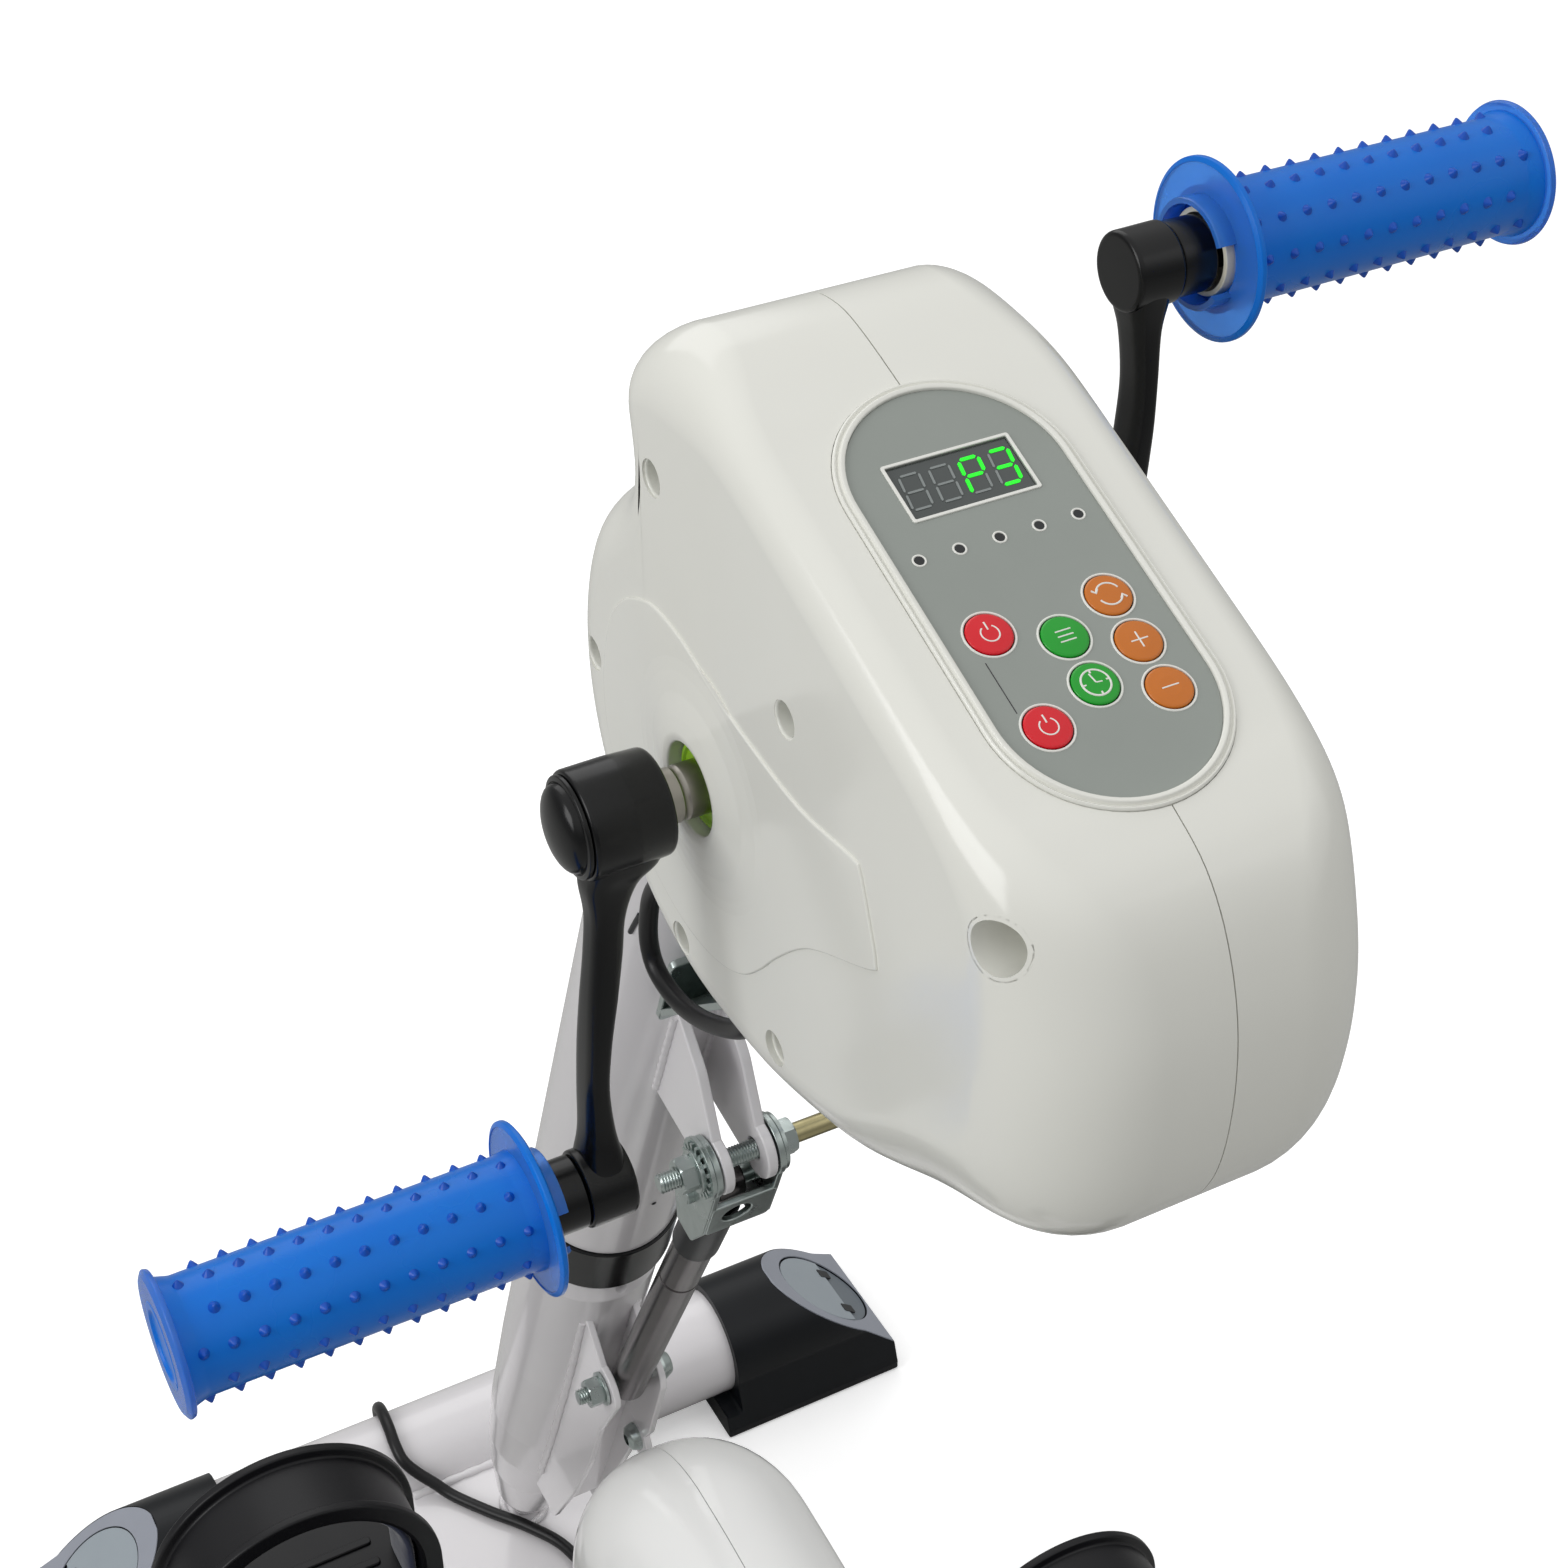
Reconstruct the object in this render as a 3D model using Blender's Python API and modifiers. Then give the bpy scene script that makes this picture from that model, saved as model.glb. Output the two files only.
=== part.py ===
# Arm and leg pedal exerciser: a low base with a leg crank unit, a leaning telescopic post with a gas spring,
# and a motor head with a console and two hand cranks. Metres, +Z up, the user sits towards -Y.
import math

import bmesh
import bpy
from mathutils import Matrix, Vector

# Driving dimensions
crankHeight = 0.873            # hand crank axis above the floor
crankY = -0.1495               # hand crank axis, so that the base is centred on the origin
handCrankLength = 0.125
handCrankTilt = math.radians(11.9)
legCrankLength = 0.100
legCrankAngle = math.radians(60)
legAxisY = crankY + 0.080
legAxisZ = 0.223
postLean = math.radians(20.5)
postFoot = (0, crankY + 0.387, 0.0443)
postRadius = 0.030
sleeveRadius = 0.035
sleeveBottom = 0.447           # along the post, at the lowest height setting
tubeRadius = 0.0335
tubeZ = 0.0385
tubeHalf = 0.190
tubeY = 0.3054                 # both stabilisers, in front of and behind the centre
capRadius = 0.0388
capHalfDepth = 0.0484
capInner = 0.149
capOuter = 0.272
beamHalf = 0.060
beamTop = 0.050
beamHigh = 0.036
shellHalf = 0.057              # half width of both casings
shellWall = 0.0025
consoleTilt = math.radians(20.1)
consoleSize = (0.072, 0.149)
bezelWide = 0.0035
shaftRadius = 0.00875
gripRadius = 0.019
gripInner = 0.132
gripOuter = 0.252
gearTeeth = 48
pinionTeeth = 14
gearModule = 0.002
gearX = -0.046
gearWide = 0.008
springPivot = (-0.0575, 0.343)  # gas spring's lower pivot: (across, along) the post
springTop = (-0.0765, 0.600)
clampBolt = (-0.079, 0.628)
boltRadius = 0.0042
slantCrest = 0.2005            # where the cap's slanted face begins, and its slope
slantSlope = math.radians(39)
plugDown = 0.0535              # centre of the cap's oval cover, down its slanted face
plugHalf = (0.0355, 0.0290)
pinRadius = 0.004
cableRadius = 0.0035
buttonRadius = 0.0066
gap = 0.0003
half = 0.5
buttons = {                    # colour, across the console, down from its top edge
    "power_up_key": ("red", -0.0190, 0.0856),
    "power_down_key": ("red", -0.0190, 0.1172),
    "mode_key": ("green", 0.0, 0.0932),
    "time_key": ("green", 0.0, 0.1094),
    "direction_key": ("orange", 0.0185, 0.0850),
    "speed_up_key": ("orange", 0.0185, 0.1011),
    "speed_down_key": ("orange", 0.0185, 0.1172),
}

crank = Vector((0, crankY, crankHeight))
legAxis = Vector((0, legAxisY, legAxisZ))
postFrame = Matrix.Translation(postFoot) @ Matrix.Rotation(postLean, 4, 'X')
springLean = math.atan2(springPivot[0] - springTop[0], springTop[1] - springPivot[1])
springFrame = postFrame @ Matrix.Translation((0, *springPivot)) @ Matrix.Rotation(springLean, 4, 'X')
springLong = math.hypot(springPivot[0] - springTop[0], springTop[1] - springPivot[1])
consoleMiddle = crank + Vector((0, -0.0850, 0.1040))
consoleFrame = Matrix.Translation(consoleMiddle) @ Matrix.Rotation(consoleTilt, 4, 'X')
sideways = Matrix(((0, 0, 1, 0), (1, 0, 0, 0), (0, 1, 0, 0), (0, 0, 0, 1)))   # stands an outline up along Y
handDirection = Vector((0, math.sin(handCrankTilt), math.cos(handCrankTilt)))
legDirection = Vector((0, math.cos(legCrankAngle), math.sin(legCrankAngle)))
legCableEnd = Vector((0.0160, legAxisY + 0.1060, 0.0625))

for old in list(bpy.data.objects):
    bpy.data.objects.remove(old, do_unlink=True)

partCollection = bpy.data.collections.new("pedal_exerciser")
cutterCollection = bpy.data.collections.new("cutters")
bpy.context.scene.collection.children.link(partCollection)
bpy.context.scene.collection.children.link(cutterCollection)
materials = {}
placed = {}


def material(name, colour, roughness, metallic=0.0):
    """One Principled material for each finish, made once."""
    if name not in materials:
        made = bpy.data.materials.new(name)
        made.use_nodes = True
        shader = made.node_tree.nodes["Principled BSDF"]
        shader.inputs["Base Color"].default_value = (*colour, 1)
        shader.inputs["Roughness"].default_value = roughness
        shader.inputs["Metallic"].default_value = metallic
        made.diffuse_color = (*colour, 1)
        materials[name] = made
    return materials[name]


def finishes():
    return {
        "ivory": material("ivory_abs", (0.80, 0.80, 0.74), 0.22),
        "white": material("white_powder_coat", (0.84, 0.83, 0.84), 0.35),
        "black": material("black_nylon", (0.012, 0.012, 0.013), 0.38),
        "pedal": material("black_polypropylene", (0.015, 0.015, 0.017), 0.5),
        "grey": material("grey_plastic", (0.30, 0.33, 0.36), 0.45),
        "panel": material("grey_membrane", (0.33, 0.36, 0.33), 0.4),
        "window": material("display_glass", (0.05, 0.06, 0.06), 0.1),
        "red": material("red_key", (0.72, 0.006, 0.014), 0.35),
        "green": material("green_key", (0.006, 0.36, 0.03), 0.35),
        "orange": material("orange_key", (0.64, 0.19, 0.01), 0.35),
        "blue": material("blue_grip_rubber", (0.01, 0.09, 0.62), 0.35),
        "lime": material("lime_gear_nylon", (0.42, 0.72, 0.05), 0.4),
        "steel": material("turned_steel", (0.55, 0.54, 0.52), 0.3, 1.0),
        "zinc": material("zinc_plated_steel", (0.66, 0.68, 0.70), 0.3, 1.0),
        "yellow": material("yellow_zinc_steel", (0.60, 0.54, 0.33), 0.35, 1.0),
        "chrome": material("ground_steel_tube", (0.62, 0.62, 0.63), 0.2, 1.0),
        "motor": material("motor_can", (0.20, 0.20, 0.21), 0.45, 1.0),
        "cable": material("black_cable", (0.010, 0.010, 0.011), 0.5),
        "strap": material("navy_strap", (0.015, 0.020, 0.055), 0.9),
    }


finish = finishes()


def place(obj, finishName=None, matrix=None):
    """Puts an object in the part's collection, or with the cutters when it has no finish."""
    if matrix is not None:
        obj.matrix_world = matrix
    if finishName is None:
        cutterCollection.objects.link(obj)
        obj.hide_render = True
        obj.display_type = 'WIRE'
    else:
        partCollection.objects.link(obj)
        obj.data.materials.clear()
        obj.data.materials.append(finish[finishName])
    return obj


def onPost(x, across, along):
    """A point given in the post's own frame."""
    return postFrame @ Vector((x, across, along))


def barX(name, finishName, centre, low, high, radius, sides=16, bevel=0.0):
    """A round bar along X from low to high on an axis point."""
    centre = Vector(centre)
    return rod(name, finishName, centre + Vector((low, 0, 0)), centre + Vector((high, 0, 0)), radius, sides,
               bevel=bevel)


def smooth(mesh, angle=35):
    mesh.shade_smooth()
    mesh.set_sharp_from_angle(angle=math.radians(angle))


def box(name, finishName, low, high, matrix=None, bevel=0.0):
    """A block between two corners, with rounded edges when a bevel is given."""
    low, high = Vector(low), Vector(high)
    mesh = bpy.data.meshes.new(name)
    bm = bmesh.new()
    bmesh.ops.create_cube(bm, size=1)
    bmesh.ops.scale(bm, vec=high - low, verts=bm.verts)
    bmesh.ops.translate(bm, vec=(high + low) * half, verts=bm.verts)
    if bevel:
        bmesh.ops.bevel(bm, geom=bm.edges, offset=bevel, segments=2, profile=0.5, affect='EDGES')
    bm.to_mesh(mesh)
    bm.free()
    return place(bpy.data.objects.new(name, mesh), finishName, matrix)


def rod(name, finishName, start, end, radius, sides=20, endRadius=None, bevel=0.0):
    """A round bar from one point to another, its origin at its middle and its Z along it."""
    start, end = Vector(start), Vector(end)
    mesh = bpy.data.meshes.new(name)
    bm = bmesh.new()
    bmesh.ops.create_cone(bm, cap_ends=True, segments=sides, radius1=radius,
                          radius2=radius if endRadius is None else endRadius, depth=(end - start).length)
    if bevel:
        rims = [e for e in bm.edges if any(len(f.verts) > 4 for f in e.link_faces)]
        bmesh.ops.bevel(bm, geom=rims, offset=bevel, segments=1, profile=0.5, affect='EDGES')
    bm.to_mesh(mesh)
    bm.free()
    smooth(mesh)
    turn = (end - start).to_track_quat('Z', 'Y').to_matrix().to_4x4()
    middle = Matrix.Translation((start + end) * half)
    return place(bpy.data.objects.new(name, mesh), finishName, middle @ turn)


def turned(name, finishName, profile, matrix, steps=32, ring=False):
    """A turned piece: (radius, height) points down the outer side, spun about its own Z."""
    mesh = bpy.data.meshes.new(name)
    bm = bmesh.new()
    points = [bm.verts.new((radius, 0, height)) for radius, height in profile]
    for first, second in zip(points, points[1:]):
        bm.edges.new((first, second))
    if ring:
        bm.edges.new((points[-1], points[0]))
    bm.to_mesh(mesh)
    bm.free()
    obj = place(bpy.data.objects.new(name, mesh), finishName, matrix)
    screw = obj.modifiers.new("spin", 'SCREW')
    screw.steps = screw.render_steps = steps
    screw.use_merge_vertices = True
    screw.merge_threshold = 0.00001
    screw.use_smooth_shade = True
    return obj


def alongX(origin, direction=1):
    """A frame whose Z runs along +X or -X from a point."""
    turn = Matrix.Rotation(math.radians(90) * direction, 4, 'Y')
    return Matrix.Translation(origin) @ turn


def outlinePlate(name, finishName, outline, thickness, matrix, bevel=0.0, holes=()):
    """A flat piece cut from an outline, with holes through it, centred on its frame's XY plane."""
    curve = bpy.data.curves.new(name, 'CURVE')
    curve.dimensions = '2D'
    curve.fill_mode = 'BOTH'
    curve.extrude = thickness * half
    for loop in (outline, *holes):
        spline = curve.splines.new('POLY')
        spline.points.add(len(loop) - 1)
        for point, (u, v) in zip(spline.points, loop):
            point.co = (u, v, 0, 1)
        spline.use_cyclic_u = True
    guide = bpy.data.objects.new(name + "_outline", curve)
    cutterCollection.objects.link(guide)
    mesh = bpy.data.meshes.new_from_object(guide.evaluated_get(bpy.context.evaluated_depsgraph_get()))
    bpy.data.objects.remove(guide, do_unlink=True)
    bm = bmesh.new()
    bm.from_mesh(mesh)
    bmesh.ops.remove_doubles(bm, verts=bm.verts, dist=0.00001)
    bmesh.ops.dissolve_limit(bm, angle_limit=0.001, verts=bm.verts, edges=bm.edges)
    if bevel:
        rims = [e for e in bm.edges if abs(abs(e.verts[0].co.z) - thickness * half) < 1e-6
                and abs(e.verts[0].co.z - e.verts[1].co.z) < 1e-6]
        bmesh.ops.bevel(bm, geom=rims, offset=bevel, segments=1, profile=0.5, affect='EDGES')
    bmesh.ops.recalc_face_normals(bm, faces=bm.faces)
    bm.to_mesh(mesh)
    bm.free()
    smooth(mesh)
    return place(bpy.data.objects.new(name, mesh), finishName, matrix)


def tube(name, finishName, route, radius, resolution=2, samples=6):
    """A cable: a smooth curve through the route's points, as a polyline with a round bevel."""
    points = [Vector(p) for p in route]
    padded = [points[0] * 2 - points[1]] + points + [points[-1] * 2 - points[-2]]
    smoothPoints = []
    for index in range(1, len(padded) - 2):
        before, first, second, after = padded[index - 1:index + 3]
        for step in range(samples):
            t = step / samples
            smoothPoints.append(first * 2 * half + (second - before) * (half * t)
                                + (before * 2 - first * 5 + second * 4 - after) * (half * t * t)
                                + (first * 3 - before - second * 3 + after) * (half * t ** 3))
    smoothPoints.append(points[-1])
    curve = bpy.data.curves.new(name, 'CURVE')
    curve.dimensions = '3D'
    curve.bevel_depth = radius
    curve.bevel_resolution = resolution
    curve.use_fill_caps = True
    spline = curve.splines.new('POLY')
    spline.points.add(len(smoothPoints) - 1)
    for point, where in zip(spline.points, smoothPoints):
        point.co = (*where, 1)
    return place(bpy.data.objects.new(name, curve), finishName)


def boolean(target, tool, operation='DIFFERENCE'):
    """Cuts or joins with another mesh, which then stays as a hidden guide."""
    step = target.modifiers.new(tool.name, 'BOOLEAN')
    step.operation = operation
    step.object = tool
    step.solver = 'EXACT'
    return target


def join(target, *tools):
    for tool in tools:
        boolean(target, tool, 'UNION')
    return target


def cut(target, *tools):
    for tool in tools:
        boolean(target, tool)
    return target


def arc(centre, radius, start, end, steps):
    """Points on a circle, degrees, both ends included."""
    return [(centre[0] + radius * math.cos(math.radians(start + (end - start) * k / steps)),
             centre[1] + radius * math.sin(math.radians(start + (end - start) * k / steps)))
            for k in range(steps + 1)]


def stadium(wide, high, steps=10):
    """A slot outline with round ends, long way up."""
    radius = wide * half
    straight = high * half - radius
    return arc((0, straight), radius, 0, 180, steps) + arc((0, -straight), radius, 180, 360, steps)


# Casings

def headOutline():
    """Side view of the head about the hand crank axis: (away from the user, up)."""
    topAndHump = [(-0.014, 0.1300), (0.008, 0.1365), (0.022, 0.1382), (0.037, 0.1350), (0.050, 0.1245),
                  (0.0565, 0.1110), (0.0530, 0.0985), (0.0520, 0.0880), (0.0580, 0.0770), (0.0690, 0.0680)]
    bulge = arc((0, 0), 0.100, 31, -96, 16)
    underside = [(-0.040, -0.0975), (-0.0855, -0.0850), (-0.129, -0.0690), (-0.160, -0.0560)]
    nose = [(-0.178, -0.0440), (-0.190, -0.0240), (-0.194, 0.0020), (-0.192, 0.0300), (-0.184, 0.0530),
            (-0.172, 0.0690), (-0.156, 0.0780)]
    return (topAndHump + bulge + underside + nose)[::-1]


def legOutline():
    """Side view of the leg unit's casing about the leg crank axis."""
    floor = beamTop + gap - legAxisZ
    back = [(0.120, floor), (0.1245, floor + 0.040), (0.1265, -0.060), (0.1268, 0.0)]
    dome = arc((0.0551, 0.0489), 0.0716, 0, 90, 9)
    front = [(0.020, 0.1190), (-0.020, 0.1125), (-0.058, 0.0985), (-0.090, 0.0740), (-0.111, 0.0380),
             (-0.121, -0.0050), (-0.122, -0.0550), (-0.117, floor + 0.045), (-0.108, floor + 0.015),
             (-0.096, floor)]
    return back + dome + front


def headRounding(y, z):
    """Radius of the head's rim: small round the hump, large round the nose."""
    share = min(1, max(0, (-0.939 * y - 0.344 * z - 0.10) / 0.045))
    return 0.022 + 0.014 * share * share * (3 - 2 * share)


def legRounding(y, z):
    """Radius of the leg casing's rim: nearly the half width at the top."""
    share = min(1, max(0, (z + 0.090) / 0.110))
    return 0.024 + 0.028 * share * share * (3 - 2 * share)


def casingHalf(name, outline, axisPoint, side, rounding, halfWidth):
    """One moulded half of a casing: the side outline drawn out from the seam, its rim rounded over."""
    mesh = bpy.data.meshes.new(name)
    bm = bmesh.new()
    count = len(outline)
    inward = []
    for k, (y, z) in enumerate(outline):
        before, after = outline[k - 1], outline[(k + 1) % count]
        along = Vector((after[0] - before[0], after[1] - before[1])).normalized()
        inward.append((-along.y, along.x))
    loops = []
    for share in (0.0, 0.05, 0.38, 0.60, 0.77, 0.90, 0.975, 1.0):
        x = gap * half + share * (halfWidth - gap * half)
        loop = []
        for (y, z), (towardsY, towardsZ) in zip(outline, inward):
            radius = rounding(y, z)
            past = max(0, x - (halfWidth - radius))
            inset = radius - math.sqrt(max(0, radius * radius - past * past))
            loop.append(bm.verts.new((side * x, y + towardsY * inset, z + towardsZ * inset)))
        loops.append(loop)
    for near, far in zip(loops, loops[1:]):
        for k in range(count):
            after = (k + 1) % count
            bm.faces.new((near[k], near[after], far[after], far[k]))
    face = bm.faces.new(loops[-1])
    bmesh.ops.recalc_face_normals(bm, faces=bm.faces)
    face.normal_update()
    if face.normal.x * side < 0:
        bmesh.ops.reverse_faces(bm, faces=bm.faces)
    bm.to_mesh(mesh)
    bm.free()
    smooth(mesh, 40)
    obj = place(bpy.data.objects.new(name, mesh), "ivory", Matrix.Translation(axisPoint))
    wall = obj.modifiers.new("wall", 'SOLIDIFY')
    wall.thickness = shellWall
    wall.offset = -1
    return obj


def headShells():
    """Both halves of the head, with the raised side contour, the shaft's boss and the screw recesses."""
    contour = [(0.0665, -0.0264), (0.0695, -0.0125), (0.0683, 0.0049), (0.0618, 0.0249), (0.0537, 0.0355),
               (0.0441, 0.0425), (0.0319, 0.0476), (0.0204, 0.0482), (0.0073, 0.0464), (-0.0108, 0.0412),
               (-0.0320, 0.0375), (-0.0525, 0.0352), (-0.0691, 0.0352), (-0.0929, 0.0388), (-0.0976, 0.0369),
               (-0.1027, 0.0248), (-0.1071, 0.0120), (-0.1042, 0.0067), (-0.0764, -0.0080),
               (-0.0629, -0.0176), (-0.0489, -0.0319), (-0.0380, -0.0449), (-0.0267, -0.0555),
               (-0.0120, -0.0625), (0.0060, -0.0652), (0.0240, -0.0625), (0.0430, -0.0540),
               (0.0570, -0.0420)]
    screws = [(0.0290, 0.0925), (0.0780, 0.0010), (-0.0533, 0.0589), (0.0180, -0.0750), (-0.0470, -0.0700)]
    sleeveHole = rod("sleeve_hole", None, onPost(0, 0, 0.60), onPost(0, 0, 0.862), sleeveRadius + 0.0008, 24)
    shaftHole = barX("shaft_hole", None, crank, -0.08, 0.08, 0.0140)
    seat = outlinePlate("console_seat", None, stadium(consoleSize[0] + 2 * gap, consoleSize[1] + 2 * gap),
                        0.024, consoleFrame @ Matrix.Translation((0, 0, 0.0108)))
    window = outlinePlate("console_opening", None, stadium(0.060, 0.136, 6), 0.030, consoleFrame)
    for side, name in ((-1, "head_shell_left"), (1, "head_shell_right")):
        shell = casingHalf(name, headOutline(), crank, side, headRounding, shellHalf)
        raised = outlinePlate(name + "_contour", None, contour, 0.0018,
                              Matrix.Translation(crank + Vector((side * 0.0569, 0, 0))) @ sideways)
        bossSide = [(0.0, 0.0560), (0.0255, 0.0560), (0.0210, 0.0595), (0.0195, 0.0628), (0.0, 0.0628)]
        boss = turned(name + "_boss", None, bossSide, alongX(crank, side), 20)
        join(shell, raised, boss)
        if side < 0:
            for k, where in enumerate(screws):
                at = crank + Vector((0, *where))
                join(shell, barX(f"screw_post_{k}", None, at, -0.0555, -0.0480, 0.0063, 10))
                cut(shell, barX(f"screw_pocket_{k}", None, at, -0.0600, -0.0520, 0.0043, 10))
            cut(shell, rod("cable_hole_back", None, crank + Vector((-0.040, 0.0460, -0.0620)),
                           crank + Vector((-0.040, 0.0705, -0.0975)), 0.0047, 12),
                rod("cable_hole_front", None, crank + Vector((-0.040, -0.0100, -0.0800)),
                    crank + Vector((-0.040, 0.0040, -0.1100)), 0.0047, 12))
        cut(shell, sleeveHole, shaftHole, seat, window)


def legShells():
    """Both halves of the leg unit, with the shaft's holes and the cable's hole in the back."""
    shaftHole = barX("leg_shaft_hole", None, legAxis, -0.08, 0.08, shaftRadius + gap)
    behind = legCableEnd + Vector((0, 0.045, 0))
    cableHole = rod("leg_cable_hole", None, legCableEnd, behind, 0.0048, 12)
    for side, name in ((-1, "leg_shell_left"), (1, "leg_shell_right")):
        shell = cut(casingHalf(name, legOutline(), legAxis, side, legRounding, 0.056), shaftHole)
        if side > 0:
            cut(shell, cableHole)


# Base

def base():
    """Beam, both stabiliser tubes and their end caps."""
    floor = beamTop - beamHigh
    wall = 0.002
    beam = box("base_beam", "white", (-beamHalf, -tubeY, floor), (beamHalf, tubeY, beamTop))
    cut(beam, box("beam_hollow", None, (wall - beamHalf, -tubeY - 0.04, floor + wall),
                  (beamHalf - wall, tubeY + 0.04, beamTop - wall)))
    for name, y in (("front", tubeY), ("rear", -tubeY)):
        cut(beam, barX(name + "_cope", None, (0, y, tubeZ), -0.1, 0.1, tubeRadius + gap, 28))
        ring = [(tubeRadius, tubeHalf), (tubeRadius, -tubeHalf), (tubeRadius - wall, -tubeHalf),
                (tubeRadius - wall, tubeHalf)]
        stabiliser = turned(name + "_stabiliser", "white", ring, alongX((0, y, tubeZ)), 28, ring=True)
        if name == "front":
            cut(stabiliser, rod("grommet_hole", None, (-0.050, y + 0.0150, tubeZ - 0.0120),
                                (-0.050, y + 0.0460, tubeZ - 0.0120), 0.0070, 12))
        for side, word in ((-1, "left"), (1, "right")):
            endCap(f"{name}_{word}_cap", y, side)
            if name == "front":
                capPlug(f"{name}_{word}_plug", y, side)


def capSlant(y, side, down=0.0, out=0.0):
    """Frame on the cap's slanted face: its origin on the crest or down from it, Z the outward normal."""
    crest = Matrix.Translation((side * slantCrest, y, tubeZ + capRadius))
    return crest @ Matrix.Rotation(side * slantSlope, 4, 'Y') @ Matrix.Translation((side * down, 0, out))


def ellipse(halfWide, halfHigh, steps=24):
    turns = [2 * math.pi * k / steps for k in range(steps)]
    return [(halfWide * math.cos(turn), halfHigh * math.sin(turn)) for turn in turns]


def endCap(name, y, side):
    """Black cap over a tube end: a sleeve on a broad flat foot, and a face slanting down outwards."""
    foot = [(capHalfDepth, 0.0050), (capHalfDepth - 0.0010, 0.0010), (capHalfDepth - 0.0030, 0.0)]
    outline = foot + [(-u, v) for u, v in reversed(foot)] + arc((0, tubeZ), capRadius, 186, -6, 16)
    middle = Matrix.Translation((side * (capInner + capOuter) * half, y, 0))
    cap = outlinePlate(name, "black", outline, capOuter - capInner, middle @ sideways)
    slant = box(name + "_slant", None, (-0.09, -0.08, 0), (0.09, 0.08, 0.07), capSlant(y, side))
    shoulder = box(name + "_shoulder", None, (-0.0060, -0.06, 0.0150), (0.0060, 0.06, 0.09),
                   Matrix.Translation((side * 0.1545, y, 0)))
    bore = barX(name + "_bore", None, (0, y, tubeZ), side * 0.12, side * (tubeHalf + gap), tubeRadius + gap,
                28)
    cut(cap, slant, shoulder, bore)
    if name.startswith("front"):
        pocket = ellipse(plugHalf[0] + gap, plugHalf[1] + gap)
        cut(cap, outlinePlate(name + "_pocket", None, pocket, 0.0100, capSlant(y, side, plugDown, 0.0024)))


def capPlug(name, y, side):
    """Grey oval cover let into the slanted face, with two key slots."""
    plug = outlinePlate(name, "grey", ellipse(*plugHalf), 0.0022, capSlant(y, side, plugDown, -0.0012))
    for shift in (-0.0170, 0.0170):
        cut(plug, box(f"{name}_slot_{shift}", None, (-0.0045, shift - 0.0025, -0.0016),
                      (0.0045, shift + 0.0025, 0.0050), capSlant(y, side, plugDown + 0.0135)))


def postProfile(slack):
    """Outside of the lower post, (radius, height): a thicker foot that tapers towards the beam."""
    outside = [(postRadius, 0.395), (0.0335, 0.388), (0.0335, 0.270), (0.0325, 0.185), (0.0305, 0.141),
               (0.0270, 0.101), (0.0190, 0.047), (0.0105, 0.020), (0.0060, 0.004), (0.0060, -0.012)]
    return [(radius + slack, height) for radius, height in outside]


def lowerPost():
    """Tube of the post: its tapered foot, and the thinner length the sleeve slides on."""
    inside = [(0.0, 0.040), (0.0120, 0.050), (0.0240, 0.103), (postRadius - 0.002, 0.150),
              (postRadius - 0.002, 0.70)]
    outside = [(postRadius, 0.70)] + postProfile(0) + [(0.0, -0.012)]
    beamTrim = box("beam_trim", None, (-0.1, 0, beamTop - 0.08), (0.1, 0.4, beamTop + gap))
    cut(turned("lower_post", "white", inside + outside, postFrame, 28), beamTrim)


def lowerBracket(pivot):
    """White bracket on the post: two flanks either side of the gas spring, joined by a web below it."""
    root = [(-0.030, 0.372), (-0.010, 0.360), (-0.010, 0.120), (-0.048, 0.130)]
    short = root + [(-0.058, 0.190), (-0.0655, 0.2545), (-0.0655, 0.300)]
    long = root + [(-0.056, 0.190), (-0.0620, 0.245), (-0.0680, 0.272), (-0.0720, 0.291), (-0.0710, 0.313)]
    lobe = arc(springPivot, 0.0125, 185, 60, 6)
    bracket = outlinePlate("lower_bracket", "white", lobe + short, 0.0035,
                           postFrame @ Matrix.Translation((-0.01225, 0, 0)) @ sideways)
    flank = outlinePlate("bracket_flank", None, lobe + long, 0.0035,
                         postFrame @ Matrix.Translation((0.01225, 0, 0)) @ sideways)
    web = box("bracket_web", None, (-0.0130, -0.0480, 0.150), (0.0130, -0.0445, 0.285), postFrame)
    stem = [(0.0, 0.50), (postRadius + gap, 0.50)] + postProfile(gap) + [(0.0, -0.012)]
    pinHole = barX("lower_pin_hole", None, pivot, -0.03, 0.03, pinRadius + gap, 12)
    cut(join(bracket, flank, web), turned("bracket_relief", None, stem, postFrame, 28), pinHole)


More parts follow.
